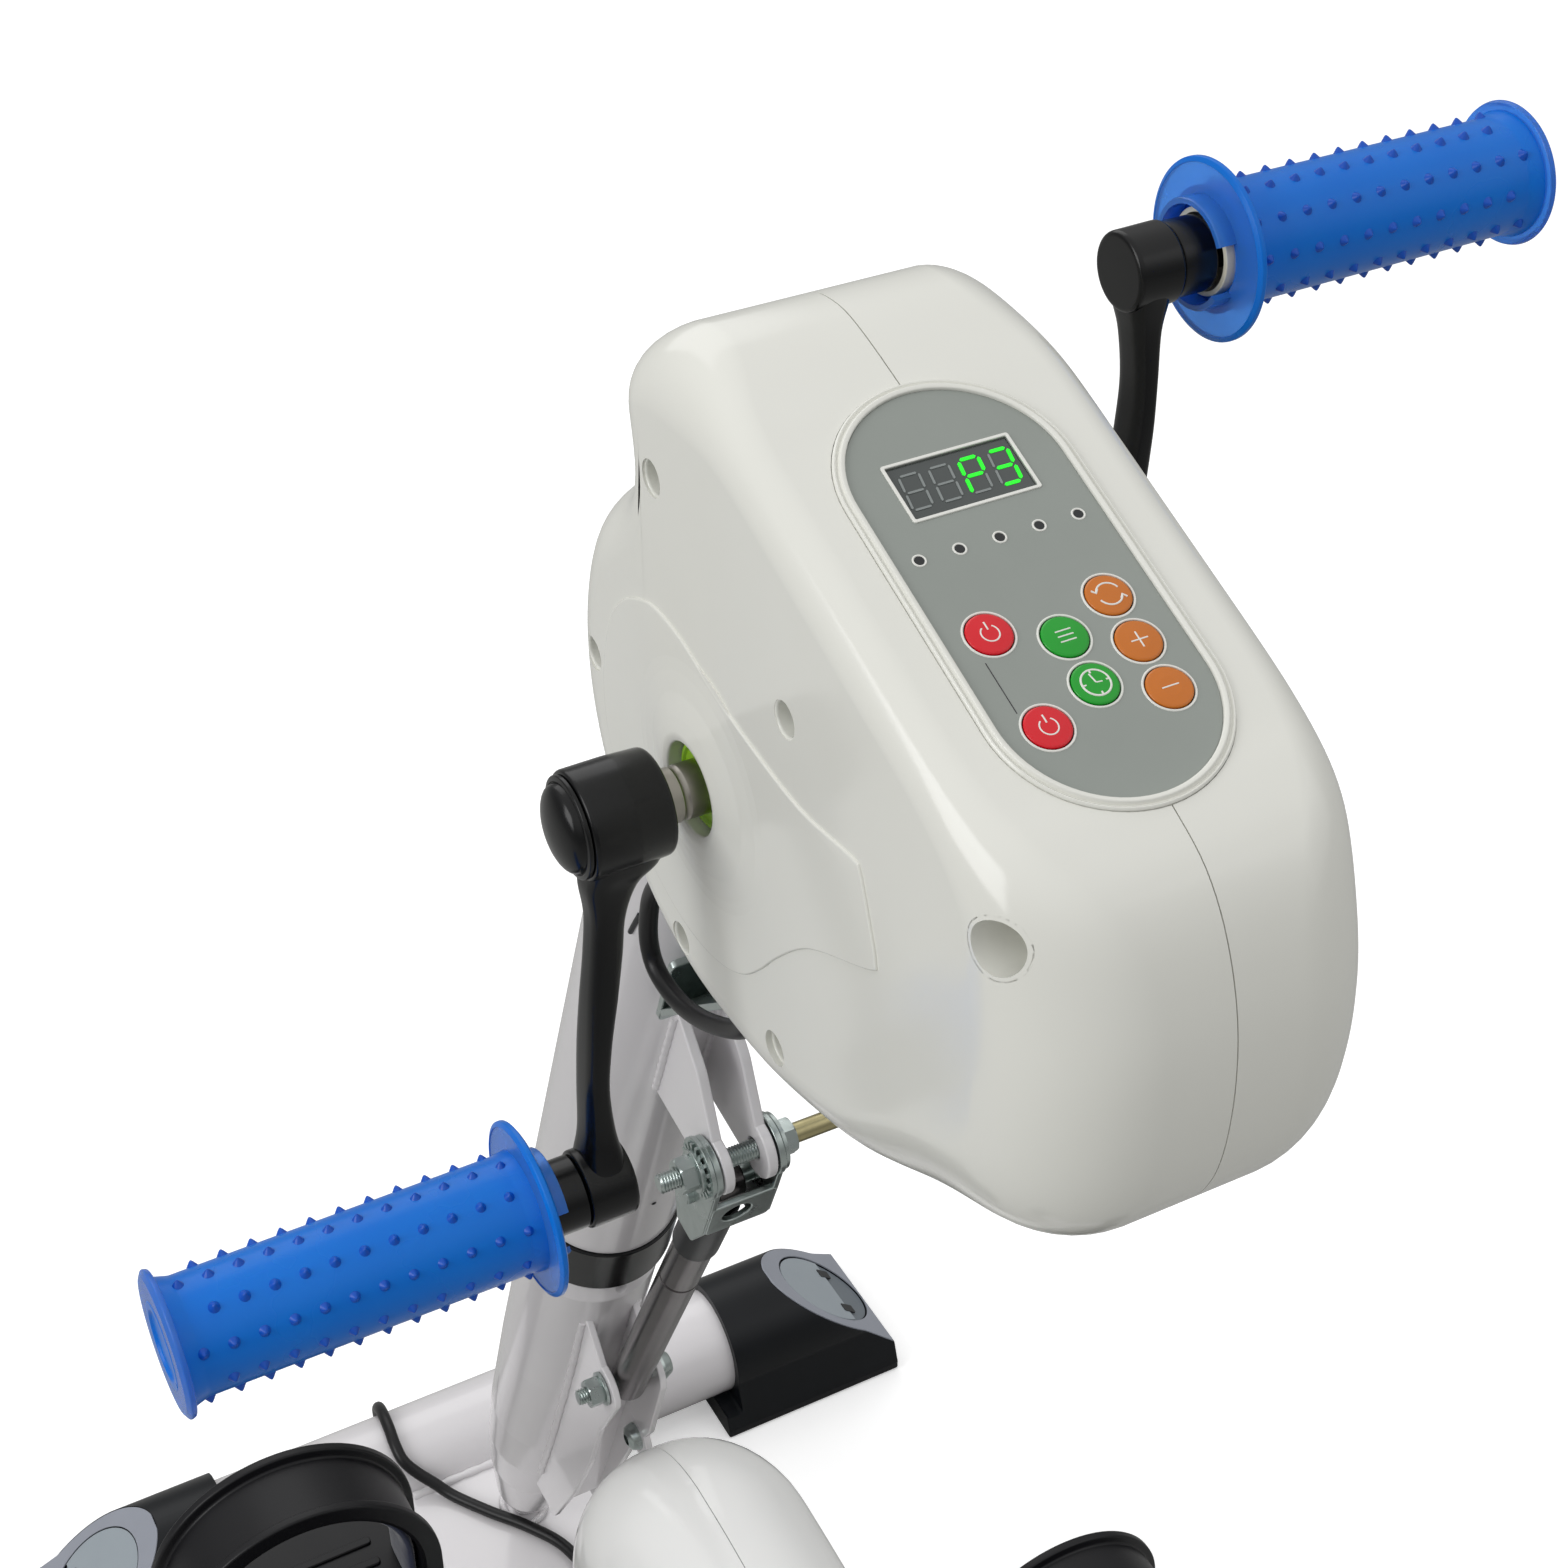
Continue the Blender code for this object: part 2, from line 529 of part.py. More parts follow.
def springParts():
    """Gas spring between its two pivots, the bracket that carries the lower one and the bolt through it."""
    pivot = onPost(0, *springPivot)
    lowerBracket(pivot)
    bolt = barX("lower_pivot_bolt", "zinc", pivot, -0.0280, 0.0225, pinRadius, 12)
    join(bolt, barX("lower_washer", None, pivot, -0.0158, -0.0143, 0.0085),
         barX("lower_nut", None, pivot, -0.0240, -0.0155, 0.0072, 6),
         barX("lower_bolt_head", None, pivot, 0.0143, 0.0210, 0.0072, 6))
    body = [(0.0, 0.2010), (0.0092, 0.2010), (0.0092, 0.1500), (0.0088, 0.1493), (0.0088, 0.1477),
            (0.0092, 0.1470), (0.0092, -0.0095), (0.0075, -0.0120), (0.0, -0.0120)]
    bore = 0.0054
    cylinder = turned("gas_spring_cylinder", "chrome", body, springFrame, 20)
    cut(cylinder, barX("spring_lower_hole", None, pivot, -0.02, 0.02, pinRadius + gap, 12),
        rod("spring_bore", None, springFrame @ Vector((0, 0, 0.020)), springFrame @ Vector((0, 0, 0.230)),
            bore, 16))
    guide = [(0.0100, 0.2400), (0.0105, 0.2385), (0.0105, 0.1905), (0.0095, 0.1905), (0.0095, 0.2013),
             (bore, 0.2013), (bore, 0.2400)]
    turned("spring_end_guide", "black", guide, springFrame, 20, ring=True)
    top = onPost(0, *springTop)
    springRod = rod("gas_spring_rod", "chrome", springFrame @ Vector((0, 0, 0.030)),
                    springFrame @ Vector((0, 0, springLong - 0.004)), 0.004, 12)
    cut(join(springRod, barX("spring_top_eye", None, top, -0.006, 0.006, 0.0080)),
        barX("spring_top_hole", None, top, -0.01, 0.01, pinRadius + gap, 12))


def mast():
    """Sleeve with the two welded ears of the clamp bolt, its collar, and what is bolted to it."""
    inner = postRadius + 0.0014
    profile = [(sleeveRadius, 0.855), (sleeveRadius, sleeveBottom), (inner, sleeveBottom), (inner, 0.855)]
    sleeve = turned("upper_sleeve", "white", profile, postFrame, 28, ring=True)
    outline = arc(clampBolt, 0.0130, 285, 75, 8) + [(-0.0550, 0.6620), (-0.0318, 0.6740), (-0.0318, 0.6080)]
    for side in (-1, 1):
        join(sleeve, outlinePlate(f"sleeve_ear_{side}", None, outline, 0.0046,
                                  postFrame @ Matrix.Translation((side * 0.0095, 0, 0)) @ sideways))
    cut(sleeve, barX("ear_hole", None, onPost(0, *clampBolt), -0.02, 0.02, boltRadius + gap, 12))
    bore = postRadius + gap
    under = sleeveBottom - gap
    collar = [(inner - gap, 0.490), (inner - gap, under), (0.0365, under), (0.0365, 0.4120),
              (0.0355, 0.4100), (bore, 0.4100), (bore, 0.490)]
    turned("sleeve_collar", "black", collar, postFrame, 28, ring=True)
    clevis()
    headBracket()


def clevis():
    """Zinc yoke on the clamp bolt, outside the ears: it hangs down to the pin of the gas spring."""
    bolt = onPost(0, *clampBolt)
    outline = arc(clampBolt, 0.0130, 20, 200, 8)
    outline += [(-0.0915, 0.612), (-0.0915, 0.590), (-0.0855, 0.572), (-0.0730, 0.570), (-0.0640, 0.588),
                (-0.0650, 0.612)]
    yoke = outlinePlate("clamp_clevis", "zinc", outline, 0.0028,
                        postFrame @ Matrix.Translation((-0.0140, 0, 0)) @ sideways)
    cheek = outlinePlate("yoke_cheek", None, outline, 0.0028,
                         postFrame @ Matrix.Translation((0.0140, 0, 0)) @ sideways)
    web = box("yoke_web", None, (-0.0145, -0.0917, 0.5882), (0.0145, -0.0890, 0.6118), postFrame)
    webHole = rod("yoke_web_hole", None, onPost(-0.002, -0.10, 0.601), onPost(-0.002, -0.08, 0.601), 0.0065,
                  16)
    pin = barX("yoke_pin", None, onPost(0, *springTop), -0.0185, 0.0185, pinRadius, 12)
    boltHole = barX("yoke_bolt_hole", None, bolt, -0.04, 0.04, boltRadius + gap, 12)
    cut(join(yoke, cheek, web), boltHole, webHole)
    join(yoke, pin)
    clamp = barX("clamp_bolt", "yellow", bolt, -0.0350, 0.0710, boltRadius)
    join(clamp, barX("clamp_washer_left", None, bolt, -0.0176, -0.0157, 0.0135, 20),
         barX("clamp_nut_left", None, bolt, -0.0273, -0.0173, 0.0078, 6),
         barX("clamp_washer_right", None, bolt, 0.0157, 0.0176, 0.0120, 20),
         barX("clamp_nut_right", None, bolt, 0.0173, 0.0240, 0.0078, 6))
    lever(bolt)


def lever(centre):
    """Lock lever on the clamp bolt's far end, with a clearance bore and an arm to the back and up."""
    low, high = 0.0520, 0.0680
    hub = barX("lock_lever", "black", centre, low, high, 0.011, 20, bevel=0.0015)
    arm = rod("lever_arm", None, centre + Vector((0.0600, 0, 0)), centre + Vector((0.0620, 0.062, 0.030)),
              0.0065, 12, endRadius=0.0085, bevel=0.002)
    cut(join(hub, arm), barX("lever_bore", None, centre, low - 0.01, high + 0.01, boltRadius + gap, 12))


def headBracket():
    """Bent zinc plate from the sleeve's front up to the head's underside."""
    start = postFrame @ Vector((0, -sleeveRadius - 0.0015, 0.690))
    end = crank + Vector((0, 0.004, -0.1015))
    run = end - start
    turn = Matrix.Rotation(math.atan2(run.z, run.y), 4, 'X')
    frame = Matrix.Translation(start) @ turn
    length = run.length
    plate = box("head_bracket", "zinc", (-0.024, 0, 0), (0.024, length, 0.003), frame)
    flange = box("bracket_flange", None, (-0.024, -0.0034, 0.684), (0.024, 0.0, 0.725),
                 postFrame @ Matrix.Translation((0, -sleeveRadius - gap, 0)))
    join(plate, flange)


def gearOutline(teeth, slack):
    """A spur gear's outline: straight-flanked teeth, four points each."""
    pitch = teeth * gearModule * half
    tip, root = pitch + 0.9 * gearModule, pitch - 1.15 * gearModule
    step = 2 * math.pi / teeth
    points = []
    for tooth in range(teeth):
        middle = tooth * step
        wideTip, wideRoot = step * 0.105, step * (0.355 - slack)
        for radius, shift in ((root, -wideRoot), (tip, -wideTip), (tip, wideTip), (root, wideRoot)):
            points.append((radius * math.cos(middle + shift), radius * math.sin(middle + shift)))
    return points


def driveTrain(gearName, pinionName, motorName, axis, motorAngle):
    """Gear on the crank shaft, and the motor with its pinion beside it."""
    aim = math.radians(motorAngle)
    spread = (gearTeeth + pinionTeeth) * gearModule * half
    motorAxis = axis + Vector((0, spread * math.cos(aim), spread * math.sin(aim)))
    inPlane = Matrix.Translation((gearX, 0, 0)) @ sideways
    gear = outlinePlate(gearName, "lime", gearOutline(gearTeeth, 0.0), gearWide,
                        Matrix.Translation(axis) @ inPlane @ Matrix.Rotation(aim, 4, 'Z'))
    cut(join(gear, barX(gearName + "_hub", None, axis, gearX - 0.0045, gearX + 0.006, 0.016, 20)),
        barX(gearName + "_bore", None, axis, gearX - 0.02, gearX + 0.02, shaftRadius + gap, 20))
    if gearName == "hand_gear":
        for spoke in range(5):
            angle = math.radians(72 * spoke) + aim
            middle = axis + Vector((0, 0.030 * math.cos(angle), 0.030 * math.sin(angle)))
            cut(gear, barX(f"{gearName}_window_{spoke}", None, middle, gearX - 0.02, gearX + 0.02, 0.0095,
                           10))
    toothShift = math.pi + math.pi / pinionTeeth
    meshed = Matrix.Rotation(aim + toothShift, 4, 'Z')
    pinion = outlinePlate(pinionName, "steel", gearOutline(pinionTeeth, 0.02), gearWide,
                          Matrix.Translation(motorAxis) @ inPlane @ meshed)
    join(pinion, barX(pinionName + "_shaft", None, motorAxis, gearX + 0.002, -0.020, 0.004, 12))
    motor = barX(motorName, "motor", motorAxis, -0.0375, 0.040, 0.0245, 24, bevel=0.002)
    cut(join(motor, barX(motorName + "_neck", None, motorAxis, 0.030, 0.046, 0.010)),
        barX(motorName + "_bore", None, motorAxis, -0.05, -0.018, 0.0044, 12))


def handCrank(name, side, direction):
    """Nylon crank: round hub, thin arm that kicks out and broadens, and a boss for the handle."""
    end = crank + direction * handCrankLength

    def bar(word, finishName, centre, low, high, radius, sides=20, bevel=0.0):
        return barX(word, finishName, centre, side * low, side * high, radius, sides, bevel)

    spindleName = name.replace("crank", "spindle")
    hub = bar(name, "black", crank, 0.0726, 0.1000, 0.0175, 24, 0.0012)
    boss = bar(name + "_boss", None, end, 0.1000, 0.1165, 0.0130, 20, 0.0012)
    join(hub, armLoft(name + "_arm", side, direction), boss)
    cut(hub, bar(name + "_bore", None, crank, 0.06, 0.0953, shaftRadius + gap),
        bar(name + "_cap_pocket", None, crank, 0.0968, 0.1100, 0.0131),
        bar(name + "_spindle_bore", None, end, 0.1035, 0.1250, 0.0063, 16))
    dome = [(0.0, 0.0050), (0.0080, 0.0043), (0.0130, 0.0028), (0.0162, 0.0012), (0.0162, gap),
            (0.0128, gap), (0.0128, -0.0028), (0.0, -0.0028)]
    turned(f"{name}_cap", "black", dome, alongX(crank + Vector((side * 0.1000, 0, 0)), side), 20)
    spindle = bar(spindleName, "black", end, 0.1168, 0.1300, 0.0120)
    join(spindle, bar(spindleName + "_core", None, end, 0.1040, 0.2450, 0.0060, 16))
    grip(name.replace("crank", "grip"), side, end)


def armLoft(name, side, direction):
    """The arm between hub and boss: rounded cross-sections that narrow, then kick outwards and broaden."""
    across = Vector((0, -direction.z, direction.y))
    stations = [(0.012, 0.0865, 0.0260, 0.0240), (0.022, 0.0915, 0.0170, 0.0150),
                (0.032, 0.0940, 0.0115, 0.0130), (0.045, 0.0965, 0.0108, 0.0130),
                (0.060, 0.1000, 0.0100, 0.0140), (0.075, 0.1035, 0.0084, 0.0150),
                (0.090, 0.1060, 0.0080, 0.0145), (0.105, 0.1070, 0.0100, 0.0150),
                (0.118, 0.1080, 0.0150, 0.0200)]
    steps = 12
    squareness = 0.7
    mesh = bpy.data.meshes.new(name)
    bm = bmesh.new()
    rings = []
    for reach, x, thick, wide in stations:
        centre = crank + direction * reach + Vector((side * x, 0, 0))
        ring = []
        for k in range(steps):
            angle = 2 * math.pi * k / steps
            u = math.copysign(abs(math.cos(angle)) ** squareness, math.cos(angle)) * wide * half
            v = math.copysign(abs(math.sin(angle)) ** squareness, math.sin(angle)) * thick * half
            ring.append(bm.verts.new(centre + across * u + Vector((v, 0, 0))))
        rings.append(ring)
    for near, far in zip(rings, rings[1:]):
        for k in range(steps):
            after = (k + 1) % steps
            bm.faces.new((near[k], near[after], far[after], far[k]))
    bm.faces.new(rings[0])
    bm.faces.new(rings[-1])
    bmesh.ops.recalc_face_normals(bm, faces=bm.faces)
    bm.to_mesh(mesh)
    bm.free()
    return place(bpy.data.objects.new(name, mesh), None)


def grip(name, side, centre):
    """Blue rubber grip: wide inner flange, body, smaller closed outer flange, and a plain bore."""
    long = gripOuter - gripInner
    profile = [(0.0, long), (0.0215, long), (0.0235, long - 0.0008), (0.0235, long - 0.0022),
               (0.0200, long - 0.0035),
               (gripRadius, long - 0.006), (gripRadius, 0.0060), (0.0205, 0.0040), (0.0280, 0.0026),
               (0.0285, 0.0014), (0.0275, 0.0), (0.0128, 0.0), (0.0128, long - 0.004), (0.0, long - 0.004)]
    turned(name, "blue", profile, alongX(centre + Vector((side * gripInner, 0, 0)), side), 28)


def legCrank(name, side, direction):
    """Steel crank for a foot pedal, with the pedal's spindle screwed in."""
    end = legAxis + direction * legCrankLength
    aim = math.atan2(direction.z, direction.y)
    outline = arc((0, 0), 0.0165, 70, 290, 10) + arc((legCrankLength, 0), 0.0130, -85, 85, 8)
    middle = Matrix.Translation(legAxis + Vector((side * 0.0780, 0, 0)))
    arm = outlinePlate(name, "black", outline, 0.012, middle @ sideways @ Matrix.Rotation(aim, 4, 'Z'),
                       bevel=0.002)
    join(arm, barX(name + "_hub", None, legAxis, side * 0.0640, side * 0.0835, 0.0160),
         barX(name + "_spindle", None, end, side * 0.0780, side * 0.2360, 0.0065))
    cut(arm, barX(name + "_bore", None, legAxis, side * 0.05, side * 0.0785, shaftRadius + gap))


def archBand(name, finishName, inner, outer, legs, low, high, centre):
    """An inverted U over the foot: half rings drawn along Y, with straight legs down."""
    outline = arc((0, legs), outer, 0, 180, 14) + [(-outer, 0), (-inner, 0)]
    outline += arc((0, legs), inner, 180, 0, 12) + [(inner, 0), (outer, 0)]
    turn = Matrix(((1, 0, 0, 0), (0, 0, -1, 0), (0, 1, 0, 0), (0, 0, 0, 1)))
    return outlinePlate(name, finishName, outline, high - low,
                        Matrix.Translation(centre + Vector((0, (low + high) * half, 0))) @ turn)


def soleOutline(wide, toe, heel, round):
    """Footprint of a pedal: straight sides, a round toe and a rounder heel."""
    side = wide * half
    points = arc((side - round, toe - round), round, 0, 90, 4)
    points += arc((round - side, toe - round), round, 90, 180, 4)
    return points + arc((0, heel + side * 0.9), side, 188, 352, 10)


def pedal(name, side, direction):
    """Foot pedal: a hollow sole with a heel cup over the spindle barrel, and an arch over the instep."""
    centre = legAxis + direction * legCrankLength + Vector((side * 0.182, 0, 0))
    at = Matrix.Translation(centre)
    sole = outlinePlate(name, "pedal", soleOutline(0.110, 0.092, -0.118, 0.022), 0.0545,
                        at @ Matrix.Translation((0, 0, 0.01475)))
    under = outlinePlate(name + "_under", None, soleOutline(0.103, 0.0885, -0.1145, 0.019), 0.030,
                         at @ Matrix.Translation((0, 0, -0.0035)))
    inside = outlinePlate(name + "_cup_inside", None, soleOutline(0.102, 0.120, -0.114, 0.02), 0.045,
                          at @ Matrix.Translation((0, 0, 0.0380)))
    cupTrim = box(name + "_cup_trim", None, (-0.08, -0.070, 0.0155), (0.08, 0.13, 0.06), at)
    cut(sole, under, inside, cupTrim)
    ribs = [box(f"{name}_rib_{shift}", None, (-0.0535, shift - 0.0015, -0.0110),
                (0.0535, shift + 0.0015, 0.0140), at) for shift in (-0.060, 0.050)]
    low, legs = -0.0100, 0.0455
    arch = archBand(name + "_arch", None, 0.0530, 0.0580, legs, 0.0306, 0.0694, centre + Vector((0, 0, low)))
    rims = [archBand(f"{name}_rim_{start}", None, 0.0542, 0.0625, legs + 0.0007, start, start + 0.004,
                     centre + Vector((0, 0, low - 0.0007))) for start in (0.030, 0.066)]
    join(sole, barX(name + "_barrel", None, centre, -0.0530, 0.0530, 0.0125), *ribs, arch, *rims)
    cut(sole, barX(name + "_bore", None, centre, -0.08, 0.08, 0.0068))
    archBand(name.replace("pedal", "strap"), "strap", 0.0470, 0.0525, legs + low - 0.0158, 0.036, 0.064,
             centre + Vector((0, 0, 0.0158)))


def console():
    """Console let into the head: bezel, printed panel, display window and seven round buttons."""
    wide, high = consoleSize
    opening = stadium(wide - 2 * bezelWide, high - 2 * bezelWide)
    outlinePlate("console_bezel", "ivory", stadium(wide, high), 0.0026,
                 consoleFrame @ Matrix.Translation((0, 0, 0.0004)), holes=[opening])
    top = high * half
    across, up, middle = 0.0190, 0.0090, top - 0.0355
    box("display_window", "window", (-across, middle - up, -0.0016), (across, middle + up, 0.0008),
        consoleFrame)
    holes = [[(-across - gap, middle - up - gap), (across + gap, middle - up - gap),
              (across + gap, middle + up + gap), (-across - gap, middle + up + gap)]]
    outward = consoleFrame.to_3x3() @ Vector((0, 0, 0.0012))
    for name, (colour, u, down) in buttons.items():
        centre = consoleFrame @ Vector((u, top - down, 0))
        rod(name, colour, centre - outward, centre + outward, buttonRadius, 16)
        holes.append(arc((u, top - down), buttonRadius + gap, 0, 337.5, 15))
    inset = 2 * (bezelWide + gap)
    outlinePlate("console_panel", "panel", stadium(wide - inset, high - inset), 0.0014,
                 consoleFrame @ Matrix.Translation((0, 0, -0.0002)), holes=holes)


def cables():
    """The loop under the head, and the leg unit's cable: out of the front tube and along the beam."""
    headRoute = [(0.0540, -0.0740), (0.0660, -0.0900), (0.0763, -0.1055), (0.0805, -0.1186),
                 (0.0813, -0.1309), (0.0770, -0.1394), (0.0666, -0.1422), (0.0521, -0.1401),
                 (0.0347, -0.1326), (0.0140, -0.1191), (0.0030, -0.1080), (-0.0040, -0.0930)]
    tube("head_cable", "cable", [crank + Vector((-0.040, y, z)) for y, z in headRoute], cableRadius, 1, 2)
    onTube = tubeRadius + cableRadius + 0.0007
    onBeam = beamTop + cableRadius + 0.0003
    inTube = tubeZ - 0.0130
    legRoute = [(-0.0500, tubeY + 0.0180, inTube), (-0.0500, tubeY + 0.0290, inTube)]
    wrap = [(-9, -0.0500), (8, -0.0508), (24, -0.0517), (40, -0.0526), (57, -0.0537), (74, -0.0548),
            (91, -0.0558), (108, -0.0567), (124, -0.0558), (138, -0.0508)]
    for angle, x in wrap:
        turn = math.radians(angle)
        legRoute.append((x, tubeY + onTube * math.cos(turn), tubeZ + onTube * math.sin(turn)))
    legRoute += [(-0.0425, 0.2680, onBeam + 0.0040), (-0.0350, 0.2575, onBeam), (-0.0208, 0.2371, onBeam),
                 (-0.0048, 0.2165, onBeam), (0.0085, 0.1930, onBeam), (0.0140, 0.1600, onBeam),
                 (0.0160, 0.1200, onBeam), (0.0160, 0.0880, onBeam + 0.0040),
                 (0.0160, 0.0640, legCableEnd.z), tuple(legCableEnd)]
    tube("leg_cable", "cable", legRoute, cableRadius, 1, 2)


def drives():
    """Both gear sets, their shafts, and the frame that carries the hand crank's shaft on the sleeve."""
    driveTrain("hand_gear", "hand_pinion", "head_motor", crank, 188)
    driveTrain("leg_gear", "leg_pinion", "leg_motor", legAxis, 200)
    frame = barX("head_frame", "steel", crank, -0.037, 0.044, 0.0138, 24)
    reachBack = box("head_frame_arm", None, crank + Vector((-0.020, 0.005, -0.011)),
                    crank + Vector((0.020, 0.060, 0.011)))
    sleeveTrim = rod("head_frame_trim", None, onPost(0, 0, 0.7), onPost(0, 0, 0.95), sleeveRadius + gap, 28)
    shaftBore = barX("head_frame_bore", None, crank, -0.06, 0.06, shaftRadius + gap, 24)
    cut(join(frame, reachBack), sleeveTrim, shaftBore)
    for name, axis, reach in (("hand_shaft", crank, 0.0950), ("leg_shaft", legAxis, 0.0782)):
        barX(name, "steel", axis, -reach, reach, shaftRadius, 24)


def hang(name, matrix, members, parent=None):
    """An empty on a joint's axis, with the pieces that move about it and their cutters as its children."""
    pivot = bpy.data.objects.new(name, None)
    pivot.empty_display_size = 0.02
    cutterCollection.objects.link(pivot)
    pivot.matrix_world = matrix
    placed[name] = matrix
    children = [bpy.data.objects[member] for member in members]
    tools = [step.object for child in children for step in child.modifiers if step.type == 'BOOLEAN']
    for child in children + [tool for tool in tools if tool.parent is None]:
        child.parent = pivot
        child.matrix_parent_inverse = matrix.inverted()
    if parent:
        pivot.parent = bpy.data.objects[parent]
        pivot.matrix_parent_inverse = placed[parent].inverted()


def pivots():
    """Hangs every moving piece on its joint: axes along X, and the height slide along the post."""
    motorReach = (gearTeeth + pinionTeeth) * gearModule * half
    onMast = ["upper_sleeve", "sleeve_collar", "clamp_clevis", "clamp_bolt", "head_bracket",
              "head_shell_left", "head_shell_right", "console_bezel", "console_panel", "display_window",
              "head_motor", "head_frame", "head_cable", *buttons]
    onCrank = ["hand_shaft", "hand_gear", "left_crank", "right_crank", "left_crank_cap", "right_crank_cap",
               "left_spindle", "right_spindle"]
    hang("height_slide", postFrame, onMast)
    hang("hand_crank_axis", Matrix.Translation(crank), onCrank, "height_slide")
    hang("lever_axis", Matrix.Translation(onPost(0, *clampBolt)), ["lock_lever"], "height_slide")
    hang("spring_top_axis", Matrix.Translation(onPost(0, *springTop)), ["gas_spring_rod"], "height_slide")
    hang("spring_foot_axis", Matrix.Translation(onPost(0, *springPivot)),
         ["gas_spring_cylinder", "spring_end_guide"])
    hang("leg_crank_axis", Matrix.Translation(legAxis),
         ["leg_shaft", "leg_gear", "left_leg_crank", "right_leg_crank"])
    for word, sign in (("left", 1), ("right", -1)):
        hang(f"{word}_grip_axis", Matrix.Translation(crank - handDirection * handCrankLength * sign),
             [f"{word}_grip"], "hand_crank_axis")
        hang(f"{word}_pedal_axis", Matrix.Translation(legAxis + legDirection * legCrankLength * sign),
             [f"{word}_pedal", f"{word}_strap"], "leg_crank_axis")
    for word, axis, angle, parent in (("hand", crank, 188, "height_slide"), ("leg", legAxis, 200, None)):
        reach = Vector((0, math.cos(math.radians(angle)), math.sin(math.radians(angle)))) * motorReach
        hang(f"{word}_pinion_axis", Matrix.Translation(axis + reach), [f"{word}_pinion"], parent)


def build():
    base()
    lowerPost()
    springParts()
    mast()
    headShells()
    legShells()
    drives()
    handCrank("left_crank", -1, -handDirection)
    handCrank("right_crank", 1, handDirection)
    legCrank("left_leg_crank", -1, legDirection)
    legCrank("right_leg_crank", 1, -legDirection)
    pedal("left_pedal", -1, legDirection)
    pedal("right_pedal", 1, -legDirection)
    console()
    cables()
    pivots()


build()
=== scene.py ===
import math

import bmesh
import bpy
from mathutils import Matrix, Vector


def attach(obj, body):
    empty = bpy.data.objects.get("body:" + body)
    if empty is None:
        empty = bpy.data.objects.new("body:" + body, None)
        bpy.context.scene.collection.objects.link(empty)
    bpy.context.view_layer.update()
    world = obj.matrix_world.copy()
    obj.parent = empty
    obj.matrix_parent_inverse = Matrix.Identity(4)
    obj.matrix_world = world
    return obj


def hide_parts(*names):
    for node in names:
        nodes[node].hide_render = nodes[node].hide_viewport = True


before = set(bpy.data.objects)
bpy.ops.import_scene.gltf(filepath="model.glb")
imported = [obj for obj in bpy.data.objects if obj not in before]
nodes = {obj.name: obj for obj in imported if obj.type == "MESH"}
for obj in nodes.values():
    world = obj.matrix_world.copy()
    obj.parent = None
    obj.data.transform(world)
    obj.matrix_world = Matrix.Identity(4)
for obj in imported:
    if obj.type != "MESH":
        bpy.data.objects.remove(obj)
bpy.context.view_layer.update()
scene = bpy.context.scene
scene.view_settings.view_transform = 'Standard'
print("frame loaded:", len(nodes), "nodes")

# Where the machine's parts stand, in metres
crank = Vector((0, -0.1495, 0.873))
legAxis = Vector((0, -0.0695, 0.223))
post = Matrix.Translation((0, 0.2375, 0.0443)) @ Matrix.Rotation(math.radians(20.5), 4, 'X')
spring = post @ Matrix.Translation((0, -0.0575, 0.343)) @ Matrix.Rotation(math.radians(4.23), 4, 'X')
springFoot = post @ Vector((0, -0.0575, 0.343))
springTop = post @ Vector((0, -0.0765, 0.6))
clamp = post @ Vector((0, -0.079, 0.628))
console = Matrix.Translation(crank + Vector((0, -0.085, 0.104))) @ Matrix.Rotation(math.radians(20.1), 4, 'X')
handDirection = Vector((0, math.sin(math.radians(11.9)), math.cos(math.radians(11.9))))
legDirection = Vector((0, math.cos(math.radians(60)), math.sin(math.radians(60))))
sideways = Matrix(((0, 0, 1, 0), (1, 0, 0, 0), (0, 1, 0, 0), (0, 0, 0, 1)))   # stands an outline up along Y
hands = ((-1, "Left"), (1, "Right"))    # side along X, and its word in a piece's name
tubeZ = 0.0385                          # height of the stabiliser tubes' axes
tubeY = 0.3054                          # their distance before and behind the origin
beamTop = 0.05

# Studio: the camera stands at the user's left shoulder and looks down the machine
studio = {
    "cameraPlace": (-0.3397, -0.7336, 1.3714),
    "cameraPitch": 37.52,
    "cameraYaw": 28.03,
    "lens": 61.92,
    "sensor": 36,
    "floorSize": 14,
    "floorColour": "#FFFFFF",
    "lamps": {
        "windowSoftbox": ((-2.3, -0.2, 1.9), 1.5, 24),
        "fillSoftbox": ((1.9, -1.2, 1.9), 1.8, 4),
        "backStrip": ((0.2, 2.2, 2.2), 1.9, 10),
    },
    "horizonStrength": 0.26,
    "zenithStrength": 0.84,
    "floorBounce": "#B2B2B0",
    "floorGlow": 0.3,
}


# sRGB hex to linear RGBA
def hexColour(code):
    values = []
    for k in (1, 3, 5):
        share = int(code[k:k + 2], 16) / 255
        values.append(share / 12.92 if share <= 0.04045 else ((share + 0.055) / 1.055) ** 2.4)
    return (*values, 1)


def addNode(tree, kind, settings=None, links=None):
    node = tree.nodes.new(kind)
    for key, value in (settings or {}).items():
        if key in node.inputs:
            node.inputs[key].default_value = value
        else:
            setattr(node, key, value)
    for socket, source in (links or {}).items():
        tree.links.new(source, node.inputs[socket])
    return node


def aimed(place, target):
    return (Vector(target) - Vector(place)).to_track_quat('-Z', 'Y').to_euler()


